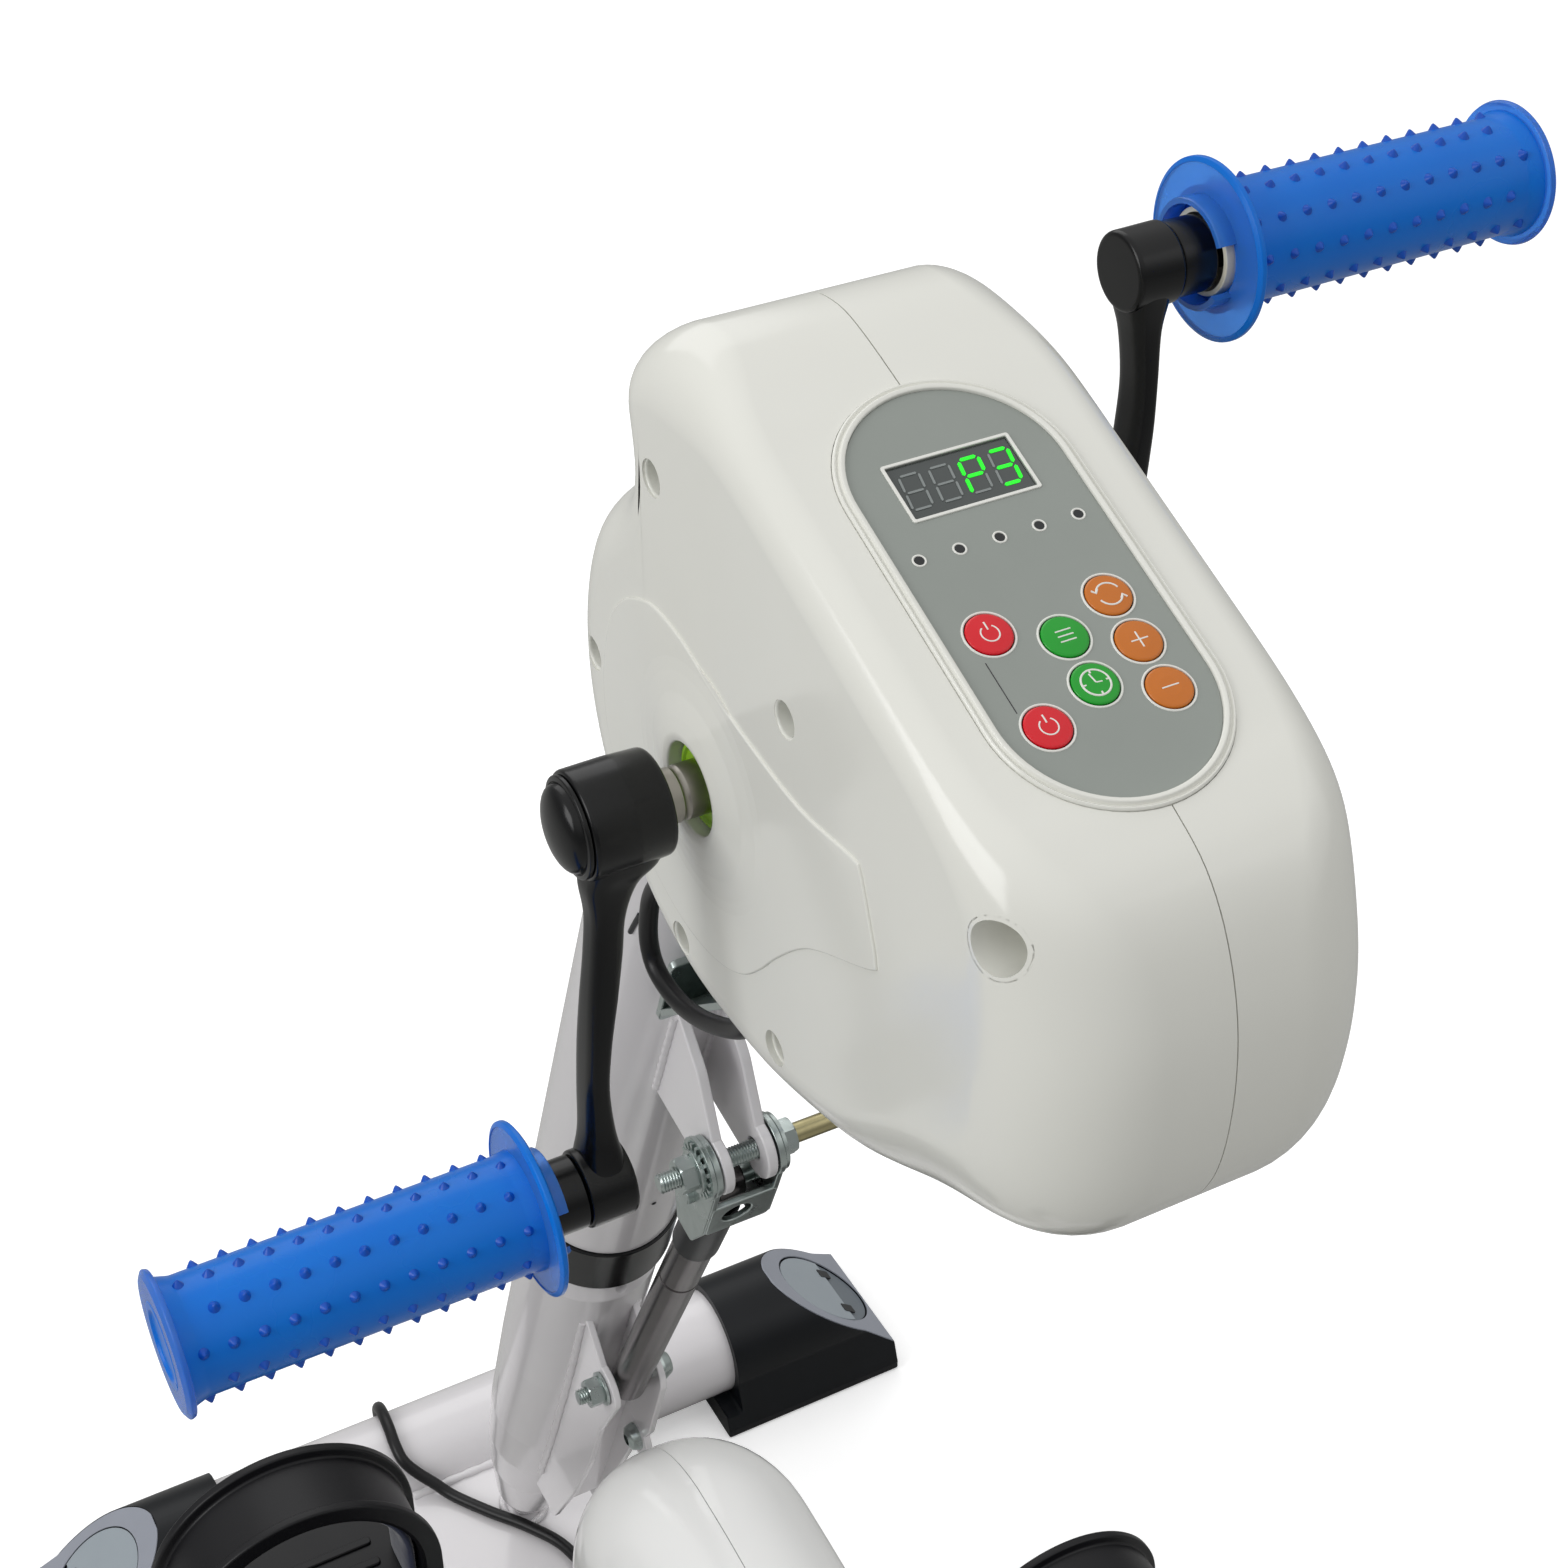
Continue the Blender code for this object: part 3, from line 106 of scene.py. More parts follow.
def buildStudio():
    data = bpy.data.cameras.new("camera")
    data.lens = studio["lens"]
    data.sensor_width = studio["sensor"]
    camera = bpy.data.objects.new("camera", data)
    camera.location = studio["cameraPlace"]
    camera.rotation_euler = (math.radians(90 - studio["cameraPitch"]), 0, -math.radians(studio["cameraYaw"]))
    scene.collection.objects.link(camera)
    scene.camera = camera

    for name, (place, size, power) in studio["lamps"].items():
        lamp = bpy.data.lights.new(name, 'AREA')
        lamp.size = size
        lamp.energy = power
        lampObject = bpy.data.objects.new(name, lamp)
        lampObject.location = place
        lampObject.rotation_euler = aimed(place, (0, 0, 0.6))
        scene.collection.objects.link(lampObject)

    world = bpy.data.worlds.new("softRoom")
    world.use_nodes = True
    scene.world = world
    back = world.node_tree.nodes["Background"]
    back.inputs["Color"].default_value = hexColour("#FFFFFF")
    path = addNode(world.node_tree, "ShaderNodeLightPath")
    seen = addNode(world.node_tree, "ShaderNodeMath", {"operation": 'MAXIMUM'},
                   {0: path.outputs["Is Camera Ray"], 1: path.outputs["Is Transmission Ray"]})
    heading = addNode(world.node_tree, "ShaderNodeSeparateXYZ", {},
                      {"Vector": addNode(world.node_tree, "ShaderNodeTexCoord").outputs["Generated"]})
    dome = addNode(world.node_tree, "ShaderNodeMapRange",
                   {"From Min": 0.05, "From Max": 0.85, "To Min": studio["horizonStrength"],
                    "To Max": studio["zenithStrength"], "interpolation_type": 'SMOOTHSTEP'},
                   {"Value": heading.outputs["Z"]})
    strength = addNode(world.node_tree, "ShaderNodeMix", {"data_type": 'FLOAT'},
                       {"Factor": seen.outputs[0], 2: dome.outputs[0]})
    strength.inputs[3].default_value = 1.0
    world.node_tree.links.new(strength.outputs[0], back.inputs["Strength"])

    bpy.ops.object.select_all(action='DESELECT')
    bpy.ops.mesh.primitive_plane_add(size=studio["floorSize"], location=(0, 0, -0.0005))
    floor = bpy.context.active_object
    floor.name = "floor"
    paper = bpy.data.materials.new("whitePaperFloor")
    paper.use_nodes = True
    shader = paper.node_tree.nodes["Principled BSDF"]
    shader.inputs["Roughness"].default_value = 0.9
    shader.inputs["Specular IOR Level"].default_value = 0.0
    # white where it is seen directly or through glass, a duller bounce on the object's underside
    way = addNode(paper.node_tree, "ShaderNodeLightPath")
    clear = addNode(paper.node_tree, "ShaderNodeMath", {"operation": 'MAXIMUM'},
                    {0: way.outputs["Is Camera Ray"], 1: way.outputs["Is Transmission Ray"]})
    tone = addNode(paper.node_tree, "ShaderNodeMix", {"data_type": 'RGBA'}, {"Factor": clear.outputs[0]})
    tone.inputs[6].default_value = hexColour(studio["floorBounce"])
    tone.inputs[7].default_value = hexColour(studio["floorColour"])
    glow = addNode(paper.node_tree, "ShaderNodeMath", {"operation": 'MULTIPLY'}, {0: clear.outputs[0]})
    glow.inputs[1].default_value = studio["floorGlow"]
    paper.node_tree.links.new(tone.outputs[2], shader.inputs["Base Color"])
    shader.inputs["Emission Color"].default_value = hexColour("#FFFFFF")
    paper.node_tree.links.new(glow.outputs[0], shader.inputs["Emission Strength"])
    floor.data.materials.append(paper)
    print("studio built")


# Finishes: (colour, second tone, tone patch mm, roughness low-high, grain mm, grain depth mm, other sockets)
finishes = {
    # injection-moulded ABS from a polished mould: warm white, a wide soft gloss, barely visible waviness
    "ivoryAbs": ("#ECECE5", "#E7E7DF", 60, (0.12, 0.18), 9.0, 0.01, {"IOR": 1.53}),
    # the leg unit's casing: the same plastic in a cleaner white with a harder gloss
    "whiteAbs": ("#F8F8F6", "#F4F4F2", 60, (0.06, 0.11), 9.0, 0.006, {"IOR": 1.53}),
    # powder-coated steel: cool white, orange-peel at about 2 mm
    "whitePowderCoat": ("#E4E2E3", "#DDDADD", 80, (0.15, 0.22), 2.2, 0.01, {"IOR": 1.5, "Coat Weight": 0.4}),
    # glass-filled nylon cranks: near black, satin, fine spark-eroded grain
    "blackNylon": ("#08090A", "#0C0D0E", 25, (0.18, 0.27), 0.9, 0.006, {"IOR": 1.53, "Specular IOR Level": 0.32}),
    # rubbery end caps: dark grey-blue sheen on black
    "blackCap": ("#0D0F12", "#121519", 25, (0.3, 0.38), 1.2, 0.01, {"IOR": 1.53, "Specular IOR Level": 0.25}),
    # polypropylene pedals: leather-like mould grain
    "blackPolypropylene": ("#0B0B0E", "#111115", 30, (0.34, 0.44), 1.1, 0.02,
                           {"IOR": 1.49, "Specular IOR Level": 0.35}),
    # pale disc in the cap's recess
    "paleDisc": ("#9FA8AE", "#97A0A7", 20, (0.3, 0.38), 0.9, 0.005, {"IOR": 1.5}),
    # the sunk part of the cap's plug, the same plastic as the disc, darkened as painted shade of its recess
    "plugShadeGrey": ("#6F777E", "#687077", 20, (0.34, 0.42), 0.9, 0.006, {"IOR": 1.5}),
    # moulded grey trim round the cap's slanted face, paler than its plug
    "paleTrim": ("#9A9EA8", "#9296A0", 20, (0.34, 0.42), 0.9, 0.005, {"IOR": 1.5}),
    # printed polyester membrane: satin grey, faint print mottling
    "greyMembrane": ("#979D97", "#8F958F", 30, (0.3, 0.38), 0.7, 0.003, {"IOR": 1.57}),
    # screen-printed ink on the membrane and the keys; the black one also paints the shade in the cap plug's slots
    "whiteInk": ("#F2F2EC", "#E6E6E0", 6, (0.34, 0.42), 0.5, 0.002, {"IOR": 1.5}),
    "blackInkAndShade": ("#1D1F20", "#26282A", 6, (0.4, 0.48), 0.5, 0.002, {"IOR": 1.5}),
    # polished acrylic over the display, moulded flat
    "smokedWindow": ("#4E5352", "#464B4A", 20, (0.08, 0.14), 3.0, 0.001, {"IOR": 1.52}),
    # unlit segments of the display show as paler bars through the smoked window
    "dimSegment": ("#8B9190", "#858B8A", 6, (0.12, 0.18), 0.6, 0.001, {"IOR": 1.5}),
    "litSegment": ("#18F020", "#20E828", 4, (0.12, 0.18), 0.6, 0.001, {"IOR": 1.5, "Emission Strength": 0.7}),
    # glossy silicone keys
    "redKey": ("#E01024", "#D80E20", 8, (0.2, 0.28), 0.6, 0.003, {"IOR": 1.5}),
    "greenKey": ("#0CA426", "#0B9C24", 8, (0.2, 0.28), 0.6, 0.003, {"IOR": 1.5}),
    "orangeKey": ("#D0741C", "#C86E1A", 8, (0.2, 0.28), 0.6, 0.003, {"IOR": 1.5}),
    # translucent rubber over a pale core: light enters it, so the lit side turns teal
    "blueGripRubber": ("#0878DE", "#066CD2", 30, (0.24, 0.32), 0.8, 0.006,
                       {"IOR": 1.47, "Subsurface Weight": 0.1, "Subsurface Scale": 0.003,
                        "Specular IOR Level": 0.28}),
    # the studs in a deeper blue than the grip: painted shade for their shaded sides
    "shadedStudRubber": ("#0656C4", "#044CB4", 12, (0.26, 0.34), 0.8, 0.004,
                       {"IOR": 1.47, "Specular IOR Level": 0.4}),
    # the same rubber where it is thin enough to see through
    "thinBlueRubber": ("#4E9CF6", "#4492EE", 20, (0.22, 0.3), 0.8, 0.004,
                       {"IOR": 1.45, "Transmission Weight": 0.55, "Specular IOR Level": 0.35}),
    # liner tube under the grip, unpolished nylon
    "creamLiner": ("#E6E2D2", "#DDD8C6", 12, (0.36, 0.44), 0.8, 0.004, {"IOR": 1.5}),
    # machined nylon gear, its teeth and boss seen through the casing's hole
    "limeGearNylon": ("#B6EE20", "#A8E418", 10, (0.32, 0.4), 0.8, 0.005, {"IOR": 1.53}),
    # turned steel: brown-grey, fine circular marks
    "turnedSteel": ("#A8A49C", "#98948C", 12, (0.24, 0.36), 0.5, 0.004, {"Metallic": 1.0}),
    # bright zinc: blue-white plating with a slight green cast and soft spangle
    "zincPlate": ("#C2CAC8", "#A6B2AE", 7, (0.22, 0.36), 0.8, 0.006, {"Metallic": 1.0}),
    # yellow-passivated zinc on the clamp bolt
    "yellowZinc": ("#C6BC8E", "#A9A07A", 5, (0.24, 0.38), 0.6, 0.005, {"Metallic": 1.0}),
    # ground and hardened rod and cylinder of the gas spring, dark and smooth
    "groundSteel": ("#625E5E", "#565253", 15, (0.2, 0.28), 0.5, 0.002, {"Metallic": 1.0}),
    # rolled motor can, dull
    "motorCan": ("#55585C", "#4C4F53", 20, (0.4, 0.5), 0.8, 0.006, {"Metallic": 1.0}),
    # PVC cable sheath, satin with a fine extrusion grain
    "cablePvc": ("#0A0A0C", "#0F0F11", 20, (0.32, 0.42), 1.0, 0.006, {"IOR": 1.52, "Specular IOR Level": 0.35}),
    # brushed loop fabric on a padded strap: dark navy, fuzzy edge
    "navyStrap": ("#1C2442", "#2A3354", 3, (0.85, 0.98), 0.7, 0.15, {"Sheen Weight": 0.7, "Sheen Roughness": 0.4}),
}


def makeFinish(name):
    colour, tone, patch, rough, grain, depth, sockets = finishes[name]
    finish = bpy.data.materials.new(name)
    finish.use_nodes = True
    tree = finish.node_tree
    shader = tree.nodes["Principled BSDF"]
    for socket, value in sockets.items():
        shader.inputs[socket].default_value = value
    where = addNode(tree, "ShaderNodeTexCoord").outputs["Object"]
    cloud = addNode(tree, "ShaderNodeTexNoise", {"Scale": 1000 / patch, "Detail": 3}, {"Vector": where})
    mix = addNode(tree, "ShaderNodeMix", {"data_type": 'RGBA'}, {"Factor": cloud.outputs["Fac"]})
    mix.inputs[6].default_value = hexColour(colour)
    mix.inputs[7].default_value = hexColour(tone)
    tree.links.new(mix.outputs[2], shader.inputs["Base Color"])
    if "Emission Strength" in sockets:
        shader.inputs["Emission Color"].default_value = hexColour(colour)
    fine = addNode(tree, "ShaderNodeTexNoise", {"Scale": 1000 / grain, "Detail": 2}, {"Vector": where})
    gloss = addNode(tree, "ShaderNodeMapRange", {"To Min": rough[0], "To Max": rough[1]},
                    {"Value": cloud.outputs["Fac"]})
    tree.links.new(gloss.outputs[0], shader.inputs["Roughness"])
    bump = addNode(tree, "ShaderNodeBump", {"Distance": depth / 1000, "Strength": 1.0},
                   {"Height": fine.outputs["Fac"]})
    tree.links.new(bump.outputs[0], shader.inputs["Normal"])
    return finish


made = {name: makeFinish(name) for name in finishes}
print("finishes made:", len(made))


# Mesh tools. A form is a bmesh; each piece is shown from one or more forms

def selectOnly(thing):
    bpy.ops.object.select_all(action='DESELECT')
    thing.select_set(True)
    bpy.context.view_layer.objects.active = thing


# A new object for a mesh or curve, alone selected
def standing(data, name):
    thing = bpy.data.objects.new(name, data)
    scene.collection.objects.link(thing)
    selectOnly(thing)
    return thing


# The selected mesh with its doubles merged and its faces turned outward
def cleaned(distance):
    bpy.ops.object.mode_set(mode='EDIT')
    bpy.ops.mesh.select_all(action='SELECT')
    bpy.ops.mesh.remove_doubles(threshold=distance)
    bpy.ops.mesh.normals_make_consistent(inside=False)
    bpy.ops.object.mode_set(mode='OBJECT')


# The object's mesh goes to its place in the form, and the object goes away
def takeUp(bm, thing, place):
    mesh = thing.data
    mesh.transform(place)
    bm.from_mesh(mesh)
    bpy.data.objects.remove(thing, do_unlink=True)
    bpy.data.meshes.remove(mesh)
    return bm


# camelCase to the CAD's underscores
def cadName(name):
    return "".join("_" + c.lower() if c.isupper() else c for c in name)


# One piece from (form, finish) pairs, riding on a CAD body. It stands for the nodes given, or the one of its name
def show(name, parts, body, stands=None, sharp=32):
    mesh = bpy.data.meshes.new(name)
    whole = bmesh.new()
    for index, (bm, finish) in enumerate(parts):
        bmesh.ops.recalc_face_normals(bm, faces=bm.faces)
        for face in bm.faces:
            face.material_index = index
        piece = bpy.data.meshes.new("part")
        bm.to_mesh(piece)
        bm.free()
        whole.from_mesh(piece)
        bpy.data.meshes.remove(piece)
        mesh.materials.append(made[finish])
    whole.to_mesh(mesh)
    whole.free()
    shown = standing(mesh, name)
    bpy.ops.object.shade_smooth_by_angle(angle=math.radians(sharp))
    normals = shown.modifiers.new("faceNormals", 'WEIGHTED_NORMAL')
    normals.keep_sharp = True
    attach(shown, body)
    if stands is None:
        stands = [cadName(name)] if cadName(name) in nodes else []
    if stands:
        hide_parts(*stands)
    return shown


# Faces between one ring of vertices and the next; a ring of one vertex is a pole
def bridge(bm, rings, closed=False, capped=False):
    pairs = list(zip(rings, rings[1:]))
    if closed:
        pairs.append((rings[-1], rings[0]))
    for near, far in pairs:
        count = max(len(near), len(far))
        for k in range(count):
            after = (k + 1) % count
            corners = [near[k % len(near)], near[after % len(near)], far[after % len(far)], far[k % len(far)]]
            corners = list(dict.fromkeys(corners))
            if len(corners) > 2:
                bm.faces.new(corners)
    if capped:
        bm.faces.new(rings[0])
        bm.faces.new(rings[-1])


# Points with a third number as the corner's radius, each such corner turned into a short curve
def rounded(points, closed=True, steps=5):
    out = []
    count = len(points)
    for k, point in enumerate(points):
        here = Vector(point[:2])
        radius = point[2] if len(point) > 2 else 0
        if not radius or (not closed and k in (0, count - 1)):
            out.append(here)
            continue
        before = Vector(points[k - 1][:2]) - here
        after = Vector(points[(k + 1) % count][:2]) - here
        back = radius / max(0.05, math.tan(before.angle(after) / 2))
        first = here + before.normalized() * min(back, before.length * 0.48)
        last = here + after.normalized() * min(back, after.length * 0.48)
        for step in range(steps + 1):
            t = step / steps
            out.append(first * (1 - t) ** 2 + here * (2 * t * (1 - t)) + last * t * t)
    return out


# A turned form: (radius, height) points, their corners rounded, spun about the frame's Z
def spin(bm, profile, place, steps=72, closed=False):
    profile = rounded(profile, closed)
    count = len(profile)
    mesh = bpy.data.meshes.new("profile")
    mesh.from_pydata([(radius, 0, height) for radius, height in profile],
                     [(k, (k + 1) % count) for k in range(count if closed else count - 1)], [])
    turned = standing(mesh, "turned")
    bpy.ops.object.mode_set(mode='EDIT')
    bpy.ops.mesh.select_all(action='SELECT')
    bpy.ops.mesh.spin(steps=steps, angle=2 * math.pi, center=(0, 0, 0), axis=(0, 0, 1))
    cleaned(0.000001)
    return takeUp(bm, turned, place)


# The same small form again at each place
def copied(bm, form, places):
    mesh = bpy.data.meshes.new("copy")
    form.to_mesh(mesh)
    form.free()
    for place in places:
        again = mesh.copy()
        again.transform(place)
        bm.from_mesh(again)
        bpy.data.meshes.remove(again)
    bpy.data.meshes.remove(mesh)
    return bm


# A smooth curve through the points
def curved(points, closed=True, per=8):
    points = [Vector(p) for p in points]
    count = len(points)
    out = []
    for k in range(count if closed else count - 1):
        if closed:
            before, first, second, after = (points[(k + shift) % count] for shift in (-1, 0, 1, 2))
        else:
            before, first, second, after = (points[min(max(k + shift, 0), count - 1)] for shift in (-1, 0, 1, 2))
        for step in range(per):
            t = step / per
            out.append(first + (second - before) * (t / 2)
                       + (before * 2 - first * 5 + second * 4 - after) * (t * t / 2)
                       + (first * 3 - before - second * 3 + after) * (t ** 3 / 2))
    if not closed:
        out.append(points[-1])
    return out


# Points on a circle, degrees, both ends included
def arc(centre, radius, start, end, steps):
    return [(centre[0] + radius * math.cos(math.radians(start + (end - start) * k / steps)),
             centre[1] + radius * math.sin(math.radians(start + (end - start) * k / steps)))
            for k in range(steps + 1)]


# Corners of a rectangle, with their radii at its low and its high end
def oblong(halfWide, low, high, lowRadius=0.0, highRadius=None):
    top = lowRadius if highRadius is None else highRadius
    return [(-halfWide, low, lowRadius), (halfWide, low, lowRadius), (halfWide, high, top), (-halfWide, high, top)]


# An ellipse; powers below 1 square it off
def ellipse(halfWide, halfHigh, steps=72, powerWide=1, powerHigh=1):
    points = []
    for k in range(steps):
        u, v = math.cos(2 * math.pi * k / steps), math.sin(2 * math.pi * k / steps)
        points.append((math.copysign(abs(u) ** powerWide, u) * halfWide,
                       math.copysign(abs(v) ** powerHigh, v) * halfHigh))
    return points


def stadium(wide, high, steps=28):
    radius = wide / 2
    straight = high / 2 - radius
    return arc((0, straight), radius, 0, 180, steps) + arc((0, -straight), radius, 180, 360, steps)


# A flat form cut from an outline, centred on its frame's XY plane, its rims rounded by the bevel
def plate(bm, outline, thickness, place, bevel=0.0, holes=()):
    curve = bpy.data.curves.new("outline", 'CURVE')
    curve.dimensions = '2D'
    curve.fill_mode = 'BOTH'
    curve.extrude = thickness / 2 - bevel
    curve.bevel_depth = bevel
    curve.bevel_resolution = 2
    curve.offset = -bevel
    for loop in (rounded(line) for line in (outline, *holes)):
        spline = curve.splines.new('POLY')
        spline.points.add(len(loop) - 1)
        for point, where in zip(spline.points, loop):
            point.co = (where.x, where.y, 0, 1)
        spline.use_cyclic_u = True
    flat = standing(curve, "flat")
    bpy.ops.object.convert(target='MESH')
    bpy.data.curves.remove(curve)
    cleaned(0.000003)
    return takeUp(bm, flat, place)


# A round bar along a route; radius is a length or a function of the share along it
def sweep(bm, route, radius, sides=16, closed=False):
    points = [Vector(p) for p in route]
    last = len(points) - 1
    normal = None
    rings = []
    for k, point in enumerate(points):
        if closed:
            ahead = points[(k + 1) % len(points)] - points[k - 1]
        else:
            ahead = points[min(k + 1, last)] - points[max(k - 1, 0)]
        ahead.normalize()
        if normal is None:
            normal = ahead.orthogonal()
        normal = (normal - ahead * normal.dot(ahead)).normalized()
        cross = ahead.cross(normal)
        thick = radius(k / last) if callable(radius) else radius
        rings.append([bm.verts.new(point + (normal * math.cos(2 * math.pi * s / sides)
                                            + cross * math.sin(2 * math.pi * s / sides)) * thick)
                      for s in range(sides)])
    bridge(bm, rings, closed, capped=not closed)
    return bm


# A weld bead: a low scalloped run of solder along a joint
def weld(bm, route, radius=0.0022):
    points = curved(route, closed=False, per=10)
    return sweep(bm, points, lambda share: radius * (1 + 0.1 * math.sin(share * len(points) * 1.9)), 12)


# Closed skin through rings of points
def loft(bm, rings, closed=False):
    bridge(bm, [[bm.verts.new(point) for point in ring] for ring in rings], closed, capped=not closed)
    return bm


# A threaded rod: its radius rises and falls once each pitch and turn
def thread(bm, place, low, high, radius, pitch=0.00125, deep=0.0007, sides=28):
    rows = int((high - low) / pitch * 6)
    rings = []
    for row in range(rows + 1):
        height = low + (high - low) * row / rows
        ends = min(1, (height - low) / 0.0006, (high - height) / 0.0006)
        ring = []
        for k in range(sides):
            phase = (height / pitch + k / sides) % 1
            reach = radius - deep * abs(2 * phase - 1) - 0.0006 * (1 - ends)
            turn = 2 * math.pi * k / sides
            ring.append(place @ Vector((reach * math.cos(turn), reach * math.sin(turn), height)))
        rings.append(ring)
    return loft(bm, rings)


# A hexagon nut or bolt head with chamfered corners
def nut(bm, place, flats, height, bore=0.0):
    steps = 48
    limit = flats / 2 * 1.03
    rings = []
    levels = [(0, limit), (height * 0.1, 1), (height * 0.9, 1), (height, limit)]
    if bore:
        levels += [(height, bore + 0.0005), (height - 0.0005, bore), (0.0005, bore), (0, bore + 0.0005)]
    for level, most in levels:
        ring = []
        for k in range(steps):
            turn = 2 * math.pi * k / steps
            corner = flats / 2 / math.cos((turn + math.pi / 6) % (math.pi / 3) - math.pi / 6)
            reach = most if most < flats / 2 else min(corner, most)
            ring.append(place @ Vector((reach * math.cos(turn), reach * math.sin(turn), level)))
        rings.append(ring)
    return loft(bm, rings, closed=bool(bore))


def washer(bm, place, radius, bore, low, high, edge=0.0003):
    return spin(bm, [(bore, low), (radius, low, edge), (radius, high, edge), (bore, high)], place, closed=True)


def asObject(bm, name):
    mesh = bpy.data.meshes.new(name)
    bmesh.ops.recalc_face_normals(bm, faces=bm.faces)
    bm.to_mesh(mesh)
    bm.free()
    return standing(mesh, name)


# The form with each cutter taken away, or with only what it shares with them
def carve(bm, cutters, operation='DIFFERENCE'):
    target = asObject(bm, "target")
    for cutter in cutters:
        tool = asObject(cutter, "tool")
        selectOnly(target)
        step = target.modifiers.new("cut", 'BOOLEAN')
        step.operation = operation
        step.object = tool
        step.solver = 'EXACT'
        bpy.ops.object.modifier_apply(modifier=step.name)
        mesh = tool.data
        bpy.data.objects.remove(tool, do_unlink=True)
        bpy.data.meshes.remove(mesh)
    return takeUp(bmesh.new(), target, Matrix.Identity(4))


def merged(forms):
    whole, *rest = forms
    for form in rest:
        copied(whole, form, [Matrix.Identity(4)])
    return whole


def turning(degrees, axis):
    return Matrix.Rotation(math.radians(degrees), 4, axis)


def shifted(place, x=0.0, y=0.0, z=0.0):
    return place @ Matrix.Translation((x, y, z))


def beside(point, x):
    return point + Vector((x, 0, 0))


# A frame whose Z runs along +X or -X from a point
def alongX(origin, side=1):
    return Matrix.Translation(origin) @ turning(90 * side, 'Y')


# A frame at start whose Z runs to end, and the distance
def between(start, end):
    start, end = Vector(start), Vector(end)
    turn = (end - start).to_track_quat('Z', 'Y').to_matrix().to_4x4()
    return Matrix.Translation(start) @ turn, (end - start).length


# A round bar between two points with rounded rims
def roller(bm, start, end, radius, edge=0.0006, steps=48):
    place, long = between(start, end)
    return spin(bm, [(0, 0), (radius, 0, edge), (radius, long, edge), (0, long)], place, steps)


# A round bar across the machine, from one distance beside a point to another
def crossBar(bm, at, low, high, radius, edge=0.0006, steps=48):
    return roller(bm, beside(at, low), beside(at, high), radius, edge, steps)


def smoothStep(value, low, high):
    share = min(1, max(0, (value - low) / (high - low)))
    return share * share * (3 - 2 * share)


# The values of each piece stand before its code, in metres and degrees. A profile is (radius, height) about the
# axis it is spun on, an outline is (across or back, up) on its own plane, and a third number is a corner's radius

# Casings

headShape = {                             # (away from the user, up) about the hand crank axis
    "topAndHump": [(-0.014, 0.13), (0.008, 0.1365), (0.022, 0.1382), (0.037, 0.135), (0.05, 0.1245),
                   (0.0565, 0.111), (0.053, 0.0985), (0.052, 0.088), (0.058, 0.077), (0.069, 0.068)],
    "bulge": ((0, 0), 0.1, 31, -96, 16),
    "underside": [(-0.04, -0.0975), (-0.0855, -0.085), (-0.129, -0.069), (-0.16, -0.056)],
    "nose": [(-0.178, -0.044), (-0.19, -0.024), (-0.194, 0.002), (-0.192, 0.03), (-0.184, 0.053),
             (-0.172, 0.069), (-0.156, 0.078)],
    "consoleLine": (-0.142, -0.122, -0.098, -0.074, -0.05, -0.03),
    "consoleMiddle": (-0.085, 0.104),
    "consoleSlope": 0.36595,
    "halfWidth": 0.057,
    "wall": 0.0025,
    "contourOut": 0.0566,
    "contour": [(0.0665, -0.0264), (0.0695, -0.0125), (0.0683, 0.0049), (0.0618, 0.0249), (0.0537, 0.0355),
                (0.0441, 0.0425), (0.0319, 0.0476), (0.0204, 0.0482), (0.0073, 0.0464), (-0.0108, 0.0412),
                (-0.032, 0.0375), (-0.0525, 0.0352), (-0.0691, 0.0352), (-0.0929, 0.0388), (-0.0976, 0.0369),
                (-0.1027, 0.0248), (-0.1071, 0.012), (-0.1042, 0.0067), (-0.0764, -0.008),
                (-0.0629, -0.0176), (-0.0489, -0.0319), (-0.038, -0.0449), (-0.0267, -0.0555),
                (-0.012, -0.0625), (0.006, -0.0652), (0.024, -0.0625), (0.043, -0.054),
                (0.057, -0.042)],
    "swell": [(0.0151, 0.056), (0.0151, 0.0612, 0.001), (0.0175, 0.0619, 0.004), (0.023, 0.0607, 0.01),
              (0.03, 0.059, 0.012), (0.037, 0.0581, 0.01), (0.044, 0.0576), (0.044, 0.056)],
    "screws": [(0.029, 0.0925, 0.0564), (0.078, 0.001, 0.0563), (-0.0533, 0.0589, 0.057),
               (0.018, -0.075, 0.0565), (-0.047, -0.07, 0.055)],     # and how far out each cup's mouth is
    "cup": [(0, -0.012), (0.0066, -0.012), (0.0066, -0.0006, 0.0005), (0.0057, 0, 0.0006), (0.0052, -0.001),
            (0.0052, -0.011), (0, -0.011)],
    "screw": [(0, 0), (0.0036, 0, 0.0008), (0.003, 0.0018, 0.001), (0, 0.0022)],
    "screwDown": -0.0112,
    "cross": (0.0008, 0.0038, 6),
    "recess": (-0.16, 0.056),          # large screw recess at the nose's left shoulder
    "recessCup": [(0, 0.0315), (0.0092, 0.0315), (0.0092, 0.07), (0.0078, 0.07), (0.0078, 0.0335), (0, 0.0335)],
    "cableHoles": [((0.046, -0.062), (0.0705, -0.0975)), ((-0.01, -0.08), (0.004, -0.11))],
    "cableX": -0.04,
    "opening": (0.0607, 0.1366, 30),
    "seat": (0.0724, 0.1494),
    "postHole": (0.6, 0.862, 0.0358),
}


def headOutline():
    y, z = headShape["consoleMiddle"]
    consoleLine = [(along, z + headShape["consoleSlope"] * (along - y)) for along in headShape["consoleLine"]]
    return (headShape["topAndHump"] + arc(*headShape["bulge"]) + headShape["underside"] + headShape["nose"]
            + consoleLine)[::-1]


